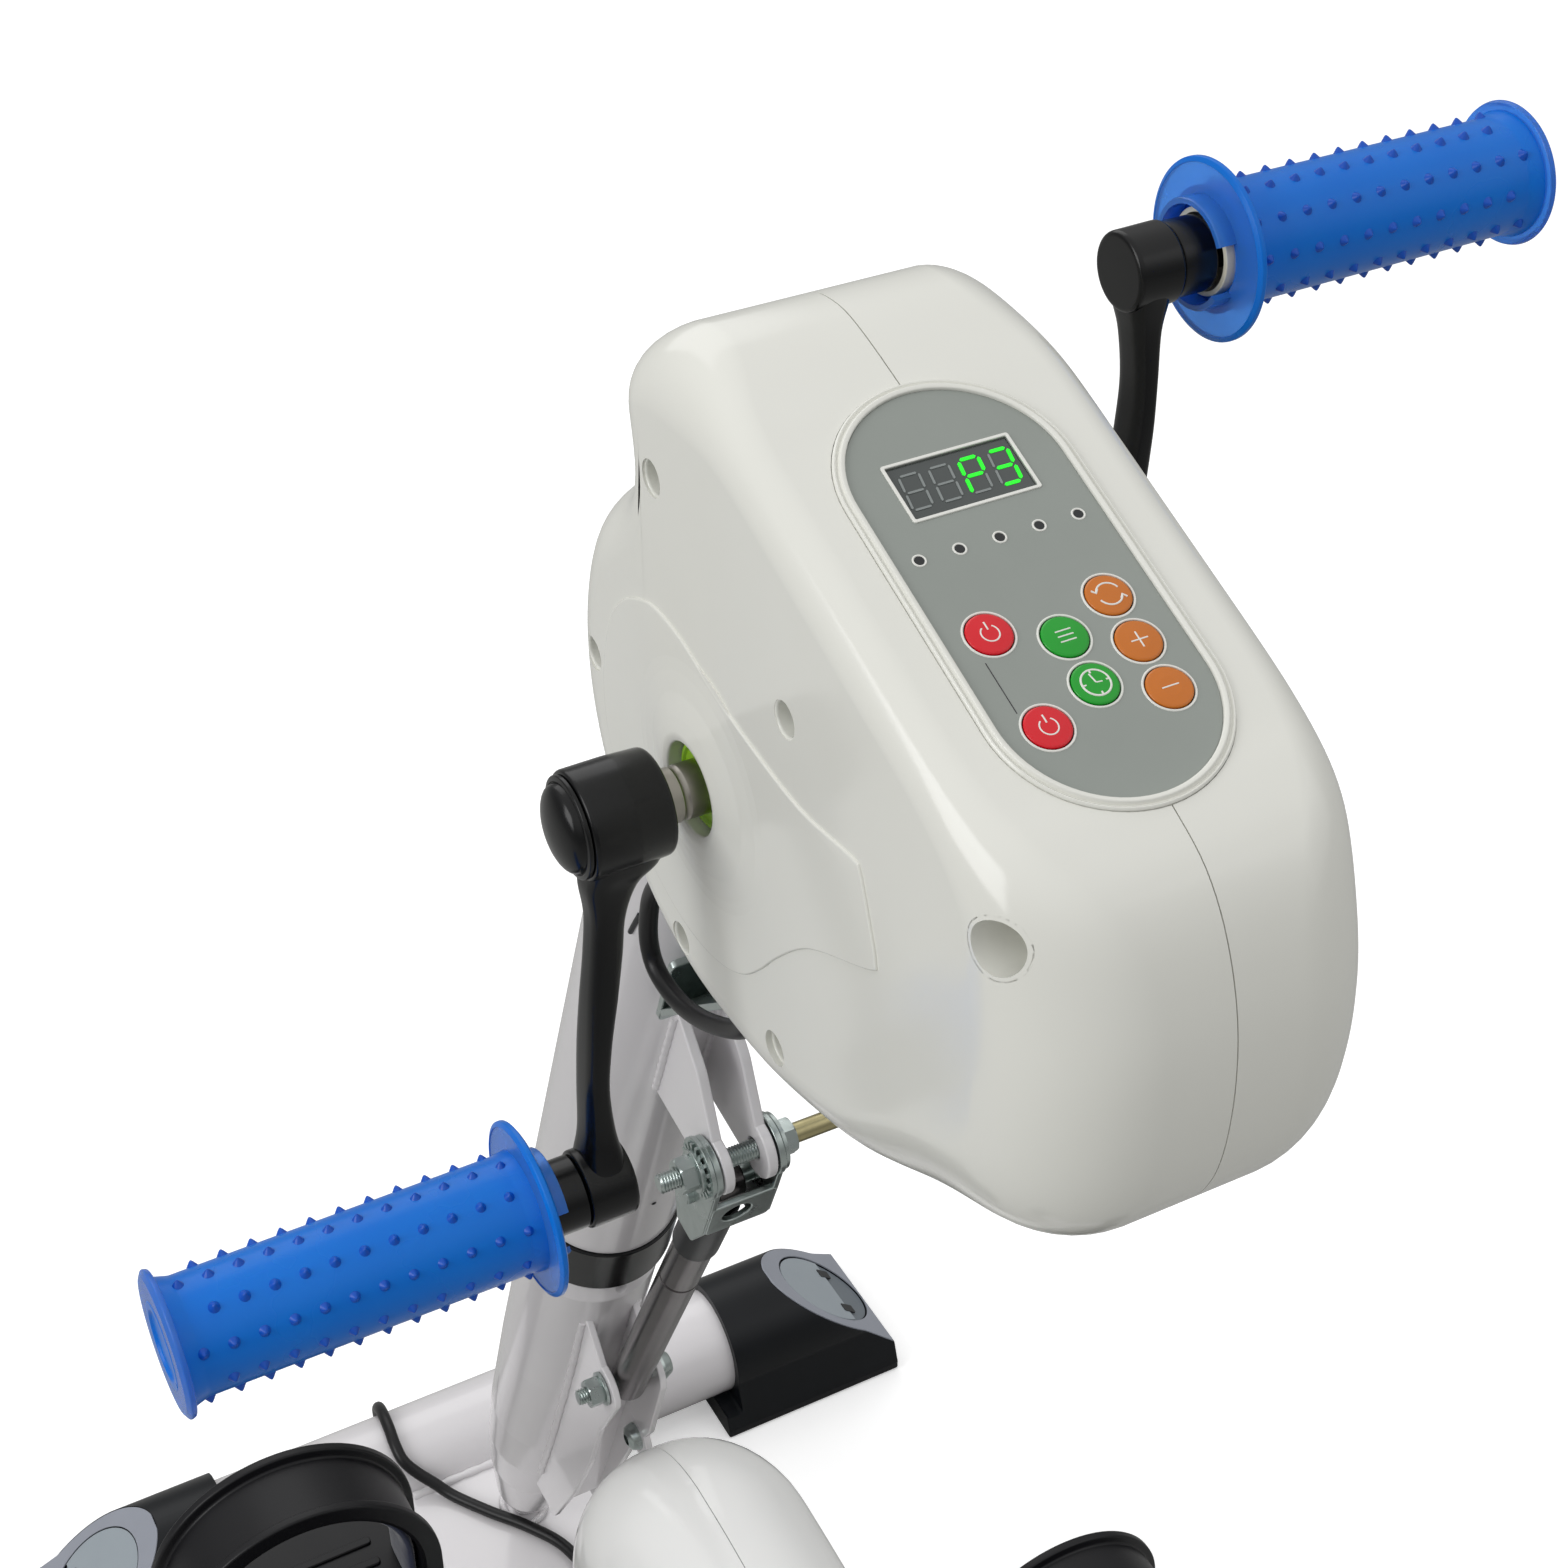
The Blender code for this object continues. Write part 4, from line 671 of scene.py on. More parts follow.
# Radius of the head's rim: small along the console, medium round the hump, large round the nose
def headRounding(y, z):
    nose = smoothStep(-0.939 * y - 0.344 * z, 0.1, 0.145)
    top = smoothStep(z, 0.05, 0.095) * smoothStep(-y, 0.0, 0.03) * smoothStep(y, -0.172, -0.11)
    return (0.022 + 0.014 * nose) * (1 - top) + 0.0125 * top


# Side view of the leg unit's casing about the leg crank axis
def legOutline():
    floor = beamTop + 0.0003 - legAxis.z
    back = [(0.113, floor), (0.1195, floor + 0.004), (0.1222, floor + 0.015), (0.1245, floor + 0.04),
            (0.1258, -0.095), (0.1265, -0.06), (0.1268, -0.02), (0.1268, 0.015), (0.1268, 0.035)]
    dome = arc((0.0551, 0.0489), 0.0716, 0, 90, 9)
    front = [(0.02, 0.119), (-0.02, 0.1125), (-0.058, 0.0985), (-0.09, 0.074), (-0.111, 0.038),
             (-0.121, -0.005), (-0.122, -0.055), (-0.117, floor + 0.045), (-0.108, floor + 0.015),
             (-0.098, floor + 0.0015), (-0.086, floor), (-0.06, floor), (0.0, floor), (0.06, floor), (0.095, floor)]
    return back + dome + front


# Radius of the leg casing's rim: nearly the half width at the top, small where it stands on the beam
def legRounding(y, z):
    return 0.006 + 0.018 * smoothStep(z, -0.165, -0.1) + 0.028 * smoothStep(z, -0.09, 0.02)


# The closed line again, its points the same distance apart
def evenly(points, step):
    walked = [0.0]
    for a, b in zip(points, points[1:] + points[:1]):
        walked.append(walked[-1] + (b - a).length)
    count = round(walked[-1] / step)
    out = []
    k = 0
    for index in range(count):
        goal = walked[-1] * index / count
        while walked[k + 1] < goal:
            k += 1
        share = (goal - walked[k]) / (walked[k + 1] - walked[k])
        out.append(points[k].lerp(points[(k + 1) % len(points)], share))
    return out


# The ring with every stretch that runs backwards against the first ring drawn straight
def untangled(ring, first):
    count = len(ring)
    for _ in range(40):
        back = [k for k in range(count)
                if (ring[(k + 1) % count] - ring[k]).dot(first[(k + 1) % count] - first[k]) < 0.00000002]
        if not back:
            break
        for k in back:
            low, high = ring[k - 2], ring[(k + 3) % count]
            for shift in range(-1, 3):
                spot = (k + shift) % count
                ring[spot] = ring[spot] * 0.4 + low.lerp(high, (shift + 2) / 5) * 0.6
    return ring


# The rim's radii, held below the outline's own bend, so that no ring inside it crosses itself
def tamed(ring, radii):
    count = len(ring)
    held = []
    for k, radius in enumerate(radii):
        before, after = ring[k] - ring[k - 3], ring[(k + 3) % count] - ring[k]
        turn = math.atan2(before.x * after.y - before.y * after.x, before.dot(after))
        bend = (before.length + after.length) / 2 / max(turn, 0.001)
        held.append(max(0.005, min(radius, 0.8 * bend)))
    held = [min(held[(k + shift) % count] for shift in range(-4, 5)) for k in range(count)]
    for _ in range(10):
        held = [(held[k - 1] + held[k] + held[(k + 1) % count]) / 3 for k in range(count)]
    return held


# One half of a casing: the outline drawn out from the seam, its rim rounded over in fine steps
def casingSkin(outline, axis, side, rounding, halfWidth, inset=0.0, per=8):
    ring = evenly(curved(outline, per=per), 0.0038)
    outer = ring
    count = len(ring)
    radii = tamed(ring, [rounding(*p) for p in ring])
    radii = [r - inset for r in radii]
    halfWidth -= inset
    levels = 14
    bm = bmesh.new()
    rows = []

    def row(distances):
        rows.append([bm.verts.new(axis + Vector((side * x, p.x, p.y))) for p, x in zip(ring, distances)])

    def inward(amounts):
        moved = []
        for k, point in enumerate(ring):
            along = (ring[(k + 1) % count] - ring[k - 1]).normalized()
            moved.append(point + Vector((-along.y, along.x)) * amounts[k])
        return moved

    ring = inward([inset] * count)
    row([-0.001 if inset else 0.0002] * count)
    row([0.003] * count)
    row([halfWidth - r for r in radii])
    for level in range(1, levels + 1):
        before, now = (math.radians(90 * k / levels) for k in (level - 1, level))
        ring = inward([r * (math.cos(before) - math.cos(now)) for r in radii])
        for _ in range(2):
            ring = [ring[k] * 0.6 + (ring[k - 1] + ring[(k + 1) % count]) * 0.2 for k in range(count)]
        ring = untangled(ring, outer)
        row([halfWidth - r + r * math.sin(now) for r in radii])
    bridge(bm, rows)
    bmesh.ops.triangulate(bm, faces=[bm.faces.new(rows[-1]), bm.faces.new(rows[0])])
    return bm


def headSkin(inset=0.0):
    return casingSkin(headOutline(), crank, -1, headRounding, headShape["halfWidth"], inset)


# What only the left half has: screws in their cups, cable holes and the recess; returns the screws
def leftFittings(fitted, holes):
    screws = bmesh.new()
    for y, z, mouth in headShape["screws"]:
        at = crank + Vector((0, y, z))
        outward = alongX(beside(at, -mouth), -1)
        spin(fitted, headShape["cup"], outward, 48)
        holes.append(crossBar(bmesh.new(), at, -0.04, -0.07, 0.006, 0, 40))
        seat = shifted(outward, z=headShape["screwDown"])
        spin(screws, headShape["screw"], seat, 32)
        for turn in (0, 90):
            plate(screws, stadium(*headShape["cross"]), 0.0008, shifted(seat @ turning(turn, 'Z'), z=0.0019))
    for low, high in headShape["cableHoles"]:
        ends = (crank + Vector((headShape["cableX"], *low)), crank + Vector((headShape["cableX"], *high)))
        holes.append(roller(bmesh.new(), *ends, 0.0047, 0, 32))
    recess = crank + Vector((0, *headShape["recess"]))
    holes.append(crossBar(bmesh.new(), recess, -0.03, -0.07, 0.0088, 0))
    cup = spin(bmesh.new(), headShape["recessCup"], alongX(recess, -1), 64)
    merged([fitted, carve(cup, [headSkin()], 'INTERSECT')])
    return screws


# Both halves are cut as left ones, and the right one is then mirrored
def headCasings():
    low, high, radius = headShape["postHole"]
    for side, hand in hands:
        raised = Matrix.Translation(beside(crank, side * headShape["contourOut"])) @ sideways
        fitted = plate(bmesh.new(), curved(headShape["contour"], per=6), 0.0024, raised, 0.0007,
                       [arc((0, 0), 0.0165, 0, 354, 59)])
        spin(fitted, headShape["swell"], alongX(crank, side), closed=True)
        holes = [crossBar(bmesh.new(), crank, -0.045, -0.08, 0.015, 0, 56)]
        screws = leftFittings(fitted, holes) if side < 0 else None
        cutters = [headSkin(headShape["wall"]),
                   roller(bmesh.new(), post @ Vector((0, 0, low)), post @ Vector((0, 0, high)), radius, 0),
                   plate(bmesh.new(), stadium(*headShape["opening"]), 0.033, console),
                   plate(bmesh.new(), stadium(*headShape["seat"]), 0.024, shifted(console, z=0.0108)),
                   merged(holes)]
        shell = carve(headSkin(), cutters)
        if side > 0:
            bmesh.ops.transform(shell, matrix=Matrix.Scale(-1, 4, (1, 0, 0)), verts=shell.verts)
        parts = [(shell, "ivoryAbs"), (fitted, "ivoryAbs")] + ([(screws, "zincPlate")] if screws else [])
        show("headCasing" + hand, parts, "mast", [f"head_shell_{hand.lower()}"], 38)
    print("head casings built")


legShape = {                            # its outline is in legOutline, as it stands on the beam
    "halfWidth": 0.056,
    "wall": 0.0025,
    "shaftHole": (-0.08, 0.08, 0.0095),
    "cableHole": (0.016, 0.106, 0.0625, 0.0048),     # across, behind the axis, up, radius
}


def legCasings():
    across, behind, up, radius = legShape["cableHole"]
    for side, hand in hands:
        skin = (legOutline(), legAxis, side, legRounding, legShape["halfWidth"])
        cutters = [casingSkin(*skin, legShape["wall"]), crossBar(bmesh.new(), legAxis, *legShape["shaftHole"], 0)]
        if side > 0:
            start = Vector((across, legAxis.y + behind, up))
            cutters.append(roller(bmesh.new(), start, start + Vector((0, 0.045, 0)), radius, 0, 32))
        show("legCasing" + hand, [(carve(casingSkin(*skin), cutters), "whiteAbs")], "base",
             [f"leg_shell_{hand.lower()}"], 38)
    print("leg casings built")


# Base

capShape = {
    "radius": 0.0388,
    "slope": 39,
    "crestX": 0.2005,
    "foot": [(0.0484, 0.006, 0.004), (0.0484, 0.0, 0.0015)],
    "long": 0.123,
    "middleX": 0.2105,
    "bore": (0.12, 0.1903, 0.0338),
    "shoulder": (0.006, 0.015, 0.1, 0.003, 0),
    "shoulderX": 0.1545,
    "down": 0.0535,                       # from the crest to the recess's middle
    "recess": (0.0375, 0.0308),
    "opening": (0.0368, 0.03),
    "plug": (0.0355, 0.0288),
    "chord": 0.012,
    "slot": (0.005, -0.0034, 0.0034, 0.001),
    "slotShift": 0.0165,
}


# Frame on a cap's slanted face: its origin on the crest or down from it, Z the outward normal
def capSlant(y, side, down=0.0, out=0.0):
    crest = Matrix.Translation((side * capShape["crestX"], y, tubeZ + capShape["radius"]))
    return shifted(crest @ turning(side * capShape["slope"], 'Y'), side * down, 0, out)


# Edge of the slanted face, from its crest down to the foot and back up
def slantEdge(side):
    radius = capShape["radius"]
    edge = []
    for k in range(41):
        drop = 0.0006 + 0.0566 * (k / 40) ** 1.6
        height = tubeZ + radius - drop
        if height > 0.0345:
            halfWide = math.sqrt(max(0, radius ** 2 - (height - tubeZ) ** 2))
        else:
            halfWide = 0.0386 + (0.0344 - height) / 3
        edge.append((side * drop / math.sin(math.radians(capShape["slope"])), max(0.0006, halfWide - 0.001)))
    edge += [(u, -v) for u, v in reversed(edge)]
    return edge if side > 0 else edge[::-1]


# Cap over a tube end: a sleeve on a broad foot, its slanted face with a trim rim and, in front, a plug
def endCap(y, side, name):
    down, foot = capShape["down"], capShape["foot"]
    low, high, bore = capShape["bore"]
    outline = foot + [(-u, v, r) for u, v, r in reversed(foot)] + arc((0, tubeZ), capShape["radius"], 188, -8, 40)
    whole = plate(bmesh.new(), outline, capShape["long"],
                  Matrix.Translation((side * capShape["middleX"], y, 0)) @ sideways, 0.0012)
    wedge = plate(bmesh.new(), oblong(0.13, -0.08, 0.08), 0.07, capSlant(y, side, 0, 0.035))
    shoulder = plate(bmesh.new(), oblong(*capShape["shoulder"]), 0.12,
                     Matrix.Translation((side * capShape["shoulderX"], y, 0)) @ turning(90, 'X'))
    hollow = crossBar(bmesh.new(), Vector((0, y, tubeZ)), side * low, side * high, bore, 0, 64)
    recess = plate(bmesh.new(), ellipse(*capShape["recess"]), 0.01, capSlant(y, side, down, 0.0024))
    opening = [(side * down + u, v) for u, v in ellipse(*capShape["opening"])]
    trim = plate(bmesh.new(), slantEdge(side), 0.0012, capSlant(y, side, 0, 0.0002), 0.0004, [opening])
    show(name, [(carve(whole, [wedge, shoulder, hollow, recess]), "blackCap"), (trim, "paleTrim")], "base", sharp=30)


# Two-part cover in the recess: a pale disc, and below its chord a sunk part darkened as painted shade, with two
# slots drawn as black sheets of painted shade
def capPlug(y, side, name):
    down, chord = capShape["down"], capShape["chord"]
    oval = ellipse(*capShape["plug"])
    place = capSlant(y, side, down, -0.001)
    disc = plate(bmesh.new(), [(side * min(u, chord), v) for u, v in oval], 0.0026, place, 0.0005)
    # the sunk part's darker grey is painted shade of its recess
    sunk = plate(bmesh.new(), [(side * max(u, chord + 0.0005), v) for u, v in oval], 0.0016,
                 shifted(place, z=-0.0006), 0.0004)
    # the two slots are black sheets laid over the sunk part: painted shade of their openings
    slots = bmesh.new()
    for shift in (-capShape["slotShift"], capShape["slotShift"]):
        plate(slots, oblong(*capShape["slot"]), 0.001, shifted(capSlant(y, side, down + chord, 0.0002), y=shift))
    show(name, [(disc, "paleDisc"), (sunk, "plugShadeGrey"), (slots, "blackInkAndShade")], "base")


baseShape = {
    "beam": (0.06, 0.014, 0.05, 0.004),
    "beamRows": (-0.3, -0.15, 0.0, 0.15, 0.3),
    "beamWeld": ((-0.056, 0.001, 0.0505), (-0.02, 0.0004, 0.0508), (0.02, 0.0004, 0.0508),
                 (0.056, 0.001, 0.0505)),
    "tube": [(0.0335, 0.19, 0.0006), (0.0335, -0.19, 0.0006), (0.0315, -0.19), (0.0315, 0.19)],
    "cableFrom": ((-0.05, 0.015, -0.012), (-0.05, 0.046, -0.012)),       # beside the tube's axis
    "cableHole": [(0, 0), (0.0068, 0), (0.0068, 0.03), (0, 0.03)],
    "grommet": [(0.004, 0.0135), (0.0066, 0.0135), (0.0066, 0.0165), (0.009, 0.0165, 0.0012),
                (0.0085, 0.019, 0.0012), (0.0045, 0.0195, 0.001)],
}


def base():
    outline = rounded(oblong(*baseShape["beam"]), steps=6)
    beam = loft(bmesh.new(), [[Vector((u, y, v)) for u, v in outline] for y in baseShape["beamRows"]])
    for end in (-1, 1):
        face = end * (tubeY - 0.0335)
        weld(beam, [(x, face - end * gap, z) for x, gap, z in baseShape["beamWeld"]], 0.0026)
    show("baseBeam", [(beam, "whitePowderCoat")], "base")
    for word, y in (("front", tubeY), ("rear", -tubeY)):
        tube = spin(bmesh.new(), baseShape["tube"], alongX((0, y, tubeZ)), 96, closed=True)
        if word == "front":
            axis = Vector((0, y, tubeZ))
            outward, _ = between(*(axis + Vector(offset) for offset in baseShape["cableFrom"]))
            tube = carve(tube, [spin(bmesh.new(), baseShape["cableHole"], outward, 32)])
            grommet = spin(bmesh.new(), baseShape["grommet"], outward, 40, closed=True)
            show("cableGrommet", [(grommet, "cablePvc")], "base")
        show(word + "Stabiliser", [(tube, "whitePowderCoat")], "base")
        for side, hand in hands:
            endCap(y, side, f"{word}{hand}Cap")
            if word == "front":
                capPlug(y, side, f"{word}{hand}Plug")
    print("base built")


postShape = {
    "outside": [(0.03, 0.7), (0.03, 0.395, 0.004), (0.0335, 0.388, 0.004), (0.0335, 0.27, 0.06),
                (0.0325, 0.185, 0.06), (0.0305, 0.141, 0.05), (0.027, 0.101, 0.05), (0.019, 0.047, 0.03),
                (0.0105, 0.02, 0.01), (0.006, 0.004), (0.006, -0.002), (0, -0.002)],
    "inside": [(0.028, 0.15), (0.028, 0.6994), (0.0286, 0.7)],
    "hole": ((0.001, -0.05, 0.393), (0.001, -0.02, 0.393)),
    "weld": (0.012, 0.015, 0.235),     # half its width, half its length, how far back
}


# Tube of the post with its crushed, tapered foot, welded to the beam
def lowerPost():
    profile = [Vector(p) for p in postShape["inside"]] + rounded(postShape["outside"], closed=False, steps=8)
    hole = roller(bmesh.new(), *(post @ Vector(p) for p in postShape["hole"]), 0.003, 0, 24)
    tube = carve(spin(bmesh.new(), profile, post, 96), [hole])
    wide, long, back = postShape["weld"]
    seam = []
    for k in range(25):
        turn = 2 * math.pi * k / 24
        seam.append(Vector((wide * math.cos(turn), back + long * math.sin(turn), beamTop + 0.0012)))
    weld(tube, seam, 0.0022)
    show("lowerPost", [(tube, "whitePowderCoat")], "base")


bracketRoot = [(-0.03, 0.366), (-0.012, 0.352), (-0.012, 0.12), (-0.048, 0.13, 0.004)]
bracketShape = {
    "short": bracketRoot + [(-0.0575, 0.19, 0.05), (-0.0635, 0.2545, 0.01), (-0.0635, 0.3, 0.01)],
    "long": bracketRoot + [(-0.056, 0.19, 0.04), (-0.062, 0.245, 0.02), (-0.068, 0.272, 0.01),
                           (-0.072, 0.291, 0.01), (-0.071, 0.313, 0.01)],
    "lobe": ((-0.0575, 0.343), 0.0125, 185, 60, 16),
    "flankX": 0.01225,
    "thick": 0.0035,
    "web": (0.013, 0.15, 0.285, 0.002),
    "webY": -0.04625,
    "weldX": 0.0148,
    "weld": ((-0.029, 0.362), (-0.0302, 0.32), (-0.0302, 0.27), (-0.0292, 0.2), (-0.0272, 0.15)),
    "ear": ((-0.0625, 0.268), 0.0132, 0, 350, 35),
    "screw": [(0, 0.0115), (0.0072, 0.0115), (0.0072, 0.0134, 0.0006), (0.0062, 0.0166, 0.0024),
              (0.0034, 0.018, 0.0004), (0.0029, 0.018), (0.0029, 0.015), (0, 0.015)],
    "screwAt": (0.0225, -0.064, 0.269),
    "boltShank": [(0, -0.0131), (0.0039, -0.0131), (0.0039, 0.015), (0, 0.015)],
    "boltHead": [(0, 0.019), (0.0022, 0.019), (0.0022, 0.0212, 0.0003), (0.005, 0.0212, 0.0022),
                 (0.0074, 0.0165, 0.002), (0.0078, 0.0144, 0.0004), (0, 0.0144)],
}


# White flanks either side of the gas spring, their web, welds and the bolt through them
def lowerBracket():
    flankX, thick = bracketShape["flankX"], bracketShape["thick"]
    bracket = bmesh.new()
    for x, edge in ((-flankX, "short"), (flankX, "long")):
        plate(bracket, arc(*bracketShape["lobe"]) + bracketShape[edge], thick, shifted(post, x) @ sideways, 0.0007)
    plate(bracket, oblong(*bracketShape["web"]), thick,
          shifted(post, y=bracketShape["webY"]) @ turning(90, 'X'), 0.0007)
    for x in (-bracketShape["weldX"], bracketShape["weldX"]):
        weld(bracket, [post @ Vector((x, y, s)) for y, s in bracketShape["weld"]], 0.002)
    plate(bracket, arc(*bracketShape["ear"]), 0.0036, shifted(post, flankX) @ sideways, 0.0008)
    stand = Matrix.Translation(post @ Vector(bracketShape["screwAt"])) @ turning(-90, 'Y')
    screw = spin(bmesh.new(), bracketShape["screw"], stand, 48)
    show("lowerBracket", [(bracket, "whitePowderCoat"), (screw, "zincPlate")], "base")

    axis = alongX(springFoot)
    bolt = thread(bmesh.new(), axis, -0.028, -0.013, 0.004)
    spin(bolt, bracketShape["boltShank"], axis, 40)
    nut(bolt, alongX(beside(springFoot, -0.0232)), 0.0128, 0.0072, 0.0038)
    washer(bolt, axis, 0.0085, 0.0042, -0.016, -0.0144)
    spin(bolt, bracketShape["boltHead"], axis, 48)
    show("lowerPivotBolt", [(bolt, "zincPlate")], "base")


springShape = {
    "cylinder": [(0, 0.201), (0.0092, 0.201, 0.0006), (0.0092, 0.1496, 0.0002), (0.0087, 0.149),
                 (0.0087, 0.148), (0.0092, 0.1474, 0.0002), (0.0092, -0.0085, 0.002), (0.0075, -0.012, 0.002),
                 (0, -0.012)],
    "guide": [(0.0052, 0.234), (0.007, 0.2352, 0.001), (0.0092, 0.24, 0.0006), (0.0105, 0.2385, 0.0006),
              (0.0105, 0.1905, 0.0006), (0.0094, 0.1905), (0.0094, 0.202), (0.0052, 0.202)],
    "rod": (0.03, 0.253, 0.004),
    "eye": [(0.0043, -0.006), (0.008, -0.006, 0.0008), (0.008, 0.006, 0.0008), (0.0043, 0.006)],
}


def gasSpring():
    tube = spin(bmesh.new(), springShape["cylinder"], spring)
    end = spin(bmesh.new(), springShape["guide"], spring, closed=True)
    show("gasSpringCylinder", [(tube, "groundSteel"), (end, "blackCap")], "spring_tube",
         ["gas_spring_cylinder", "spring_end_guide"])
    low, high, radius = springShape["rod"]
    rod = roller(bmesh.new(), spring @ Vector((0, 0, low)), spring @ Vector((0, 0, high)), radius)
    spin(rod, springShape["eye"], alongX(springTop), 48, closed=True)
    show("gasSpringRod", [(rod, "groundSteel")], "spring_rod")
    print("post and gas spring built")


sleeveShape = {
    "radius": 0.035,
    "tube": [(0.035, 0.855, 0.0006), (0.035, 0.447, 0.0006), (0.0314, 0.447), (0.0314, 0.855)],
    "ear": arc((-0.079, 0.628), 0.013, 285, 75, 24) + [(-0.055, 0.662, 0.02), (-0.0318, 0.674),
                                                        (-0.0318, 0.608)],
    "earHole": ((-0.079, 0.628), 0.0046, 0, 350, 35),
    "earX": 0.0095,
    "weldX": 0.0026,
    "weld": (0.612, 0.63, 0.65, 0.671),
    "tick": ((-0.0307, -0.017, 0.7215), (-0.0302, -0.0179, 0.729), (-0.0296, -0.0189, 0.7365)),
    "dot": [(0, 0), (0.0016, 0, 0.0004), (0, 0.0006)],
    "dotAt": (0.0024, -0.035, 0.4935),
    "collar": [(0.0311, 0.49), (0.0311, 0.4467), (0.0365, 0.4467, 0.0008), (0.0365, 0.41, 0.0014),
               (0.0303, 0.41), (0.0303, 0.49)],
}


def upperSleeve():
    sleeve = spin(bmesh.new(), sleeveShape["tube"], post, 96, closed=True)
    for side in (-1, 1):
        middle = side * sleeveShape["earX"]
        plate(sleeve, sleeveShape["ear"], 0.0046, shifted(post, middle) @ sideways, 0.001,
              [arc(*sleeveShape["earHole"])])
        for edge in (-1, 1):
            x = middle + edge * sleeveShape["weldX"]
            y = -math.sqrt(sleeveShape["radius"] ** 2 - x * x)
            weld(sleeve, [post @ Vector((x, y, s)) for s in sleeveShape["weld"]], 0.0019)
    mark = sweep(bmesh.new(), [post @ Vector(p) for p in sleeveShape["tick"]], 0.0011, 10)
    spin(mark, sleeveShape["dot"], shifted(post, *sleeveShape["dotAt"]) @ turning(90, 'X'), 16)
    show("upperSleeve", [(sleeve, "whitePowderCoat"), (mark, "blackInkAndShade")], "mast")
    collar = spin(bmesh.new(), sleeveShape["collar"], post, 96, closed=True)
    show("sleeveCollar", [(collar, "blackNylon")], "mast")


clampShape = {
    "cheek": arc((-0.079, 0.628), 0.013, 20, 200, 28)
             + [(-0.0915, 0.612, 0.01), (-0.0915, 0.59, 0.006), (-0.0855, 0.572, 0.003),
                (-0.073, 0.57, 0.0015), (-0.064, 0.588, 0.01), (-0.065, 0.612, 0.01)],
    "cheekX": 0.014,
    "cheekHole": ((-0.079, 0.628), 0.0045, 0, 350, 35),
    "web": (0.0145, 0.5882, 0.6118, 0.003, 0.002),
    "webY": -0.09035,
    "webHole": ((-0.002, 0.601), 0.0065, 0, 350, 35),
    "pin": 0.0185,
    "boltRadius": 0.0042,
    "serration": (0.0022, -0.0009, 0.0009, 0.0004),
    "serrations": 18,
    "flange": [(0.0044, -0.018), (0.0092, -0.018, 0.0003), (0.0092, -0.02, 0.0005), (0.0044, -0.02)],
    "leverHub": [(0.0045, 0.052), (0.011, 0.052, 0.002), (0.011, 0.068, 0.003), (0.0045, 0.068)],
    "lever": ((0.006, 0.004), (0.0058, 0.018), (0.0066, 0.036), (0.008, 0.054), (0.0084, 0.064),
              (0.007, 0.0675), (0.0035, 0.069)),
    "leverFrom": (0.06, 0, 0),
    "leverTo": (0.062, 0.062, 0.03),
}


# Zinc yoke outside the ears, its pin, the threaded clamp bolt with nuts and washers, and the lever
def clampGroup():
    yoke = bmesh.new()
    for x in (-clampShape["cheekX"], clampShape["cheekX"]):
        plate(yoke, clampShape["cheek"], 0.0028, shifted(post, x) @ sideways, 0.0005,
              [arc(*clampShape["cheekHole"])])
    plate(yoke, oblong(*clampShape["web"]), 0.0027, shifted(post, y=clampShape["webY"]) @ turning(90, 'X'),
          0.0006, [arc(*clampShape["webHole"])])
    crossBar(yoke, springTop, -clampShape["pin"], clampShape["pin"], 0.004, 0.0008)
    show("clampYoke", [(yoke, "zincPlate")], "mast", ["clamp_clevis"])

    axis, radius = alongX(clamp), clampShape["boltRadius"]
    hardware = thread(bmesh.new(), axis, -0.035, 0.03, radius)
    bolt = crossBar(bmesh.new(), clamp, 0.024, 0.071, radius)
    washer(hardware, axis, 0.0135, 0.0044, -0.0174, -0.0156)
    teeth = [shifted(axis @ turning(360 / clampShape["serrations"] * k, 'Z'), 0.0098, 0, -0.018)
             for k in range(clampShape["serrations"])]
    copied(hardware, plate(bmesh.new(), oblong(*clampShape["serration"]), 0.0012, Matrix.Identity(4)), teeth)
    spin(hardware, clampShape["flange"], axis, 48, closed=True)
    nut(hardware, alongX(beside(clamp, -0.0268)), 0.0134, 0.007, 0.0041)
    washer(hardware, axis, 0.012, 0.0044, 0.0157, 0.0175)
    nut(hardware, alongX(beside(clamp, 0.0176)), 0.0134, 0.0065, 0.0041)
    show("clampBolt", [(bolt, "yellowZinc"), (hardware, "zincPlate")], "mast")

    lever = spin(bmesh.new(), clampShape["leverHub"], axis, 56, closed=True)
    place, _ = between(clamp + Vector(clampShape["leverFrom"]), clamp + Vector(clampShape["leverTo"]))
    spin(lever, [(0, 0.004)] + curved(clampShape["lever"], closed=False) + [(0, 0.0692)], place, 40)
    show("lockLever", [(lever, "blackNylon")], "height_lever")


headBracketShape = {
    "start": (0, -0.0365, 0.69),
    "end": (0, 0.004, -0.1015),
    "halfWide": 0.024,
    "foot": (0.024, 0.684, 0.725, 0.003),
    "footY": -0.037,
    "boltX": 0.014,
}


# Bent zinc plate from the sleeve up to the head's underside, with its bolts
def headBracket():
    start = post @ Vector(headBracketShape["start"])
    run = crank + Vector(headBracketShape["end"]) - start
    slope = Matrix.Translation(start) @ Matrix.Rotation(math.atan2(run.z, run.y), 4, 'X')
    bent = plate(bmesh.new(), oblong(headBracketShape["halfWide"], 0, run.length, 0.002, 0.003), 0.003,
                 shifted(slope, z=0.0015), 0.0006)
    plate(bent, oblong(*headBracketShape["foot"]), 0.0032,
          shifted(post, y=headBracketShape["footY"]) @ turning(90, 'X'), 0.0006)
    for x in (-headBracketShape["boltX"], headBracketShape["boltX"]):
        nut(bent, shifted(slope, x, run.length * 0.5) @ turning(180, 'X'), 0.01, 0.0045)
    show("headBracket", [(bent, "zincPlate")], "mast")
    print("clamp and bracket built")


# Hand cranks

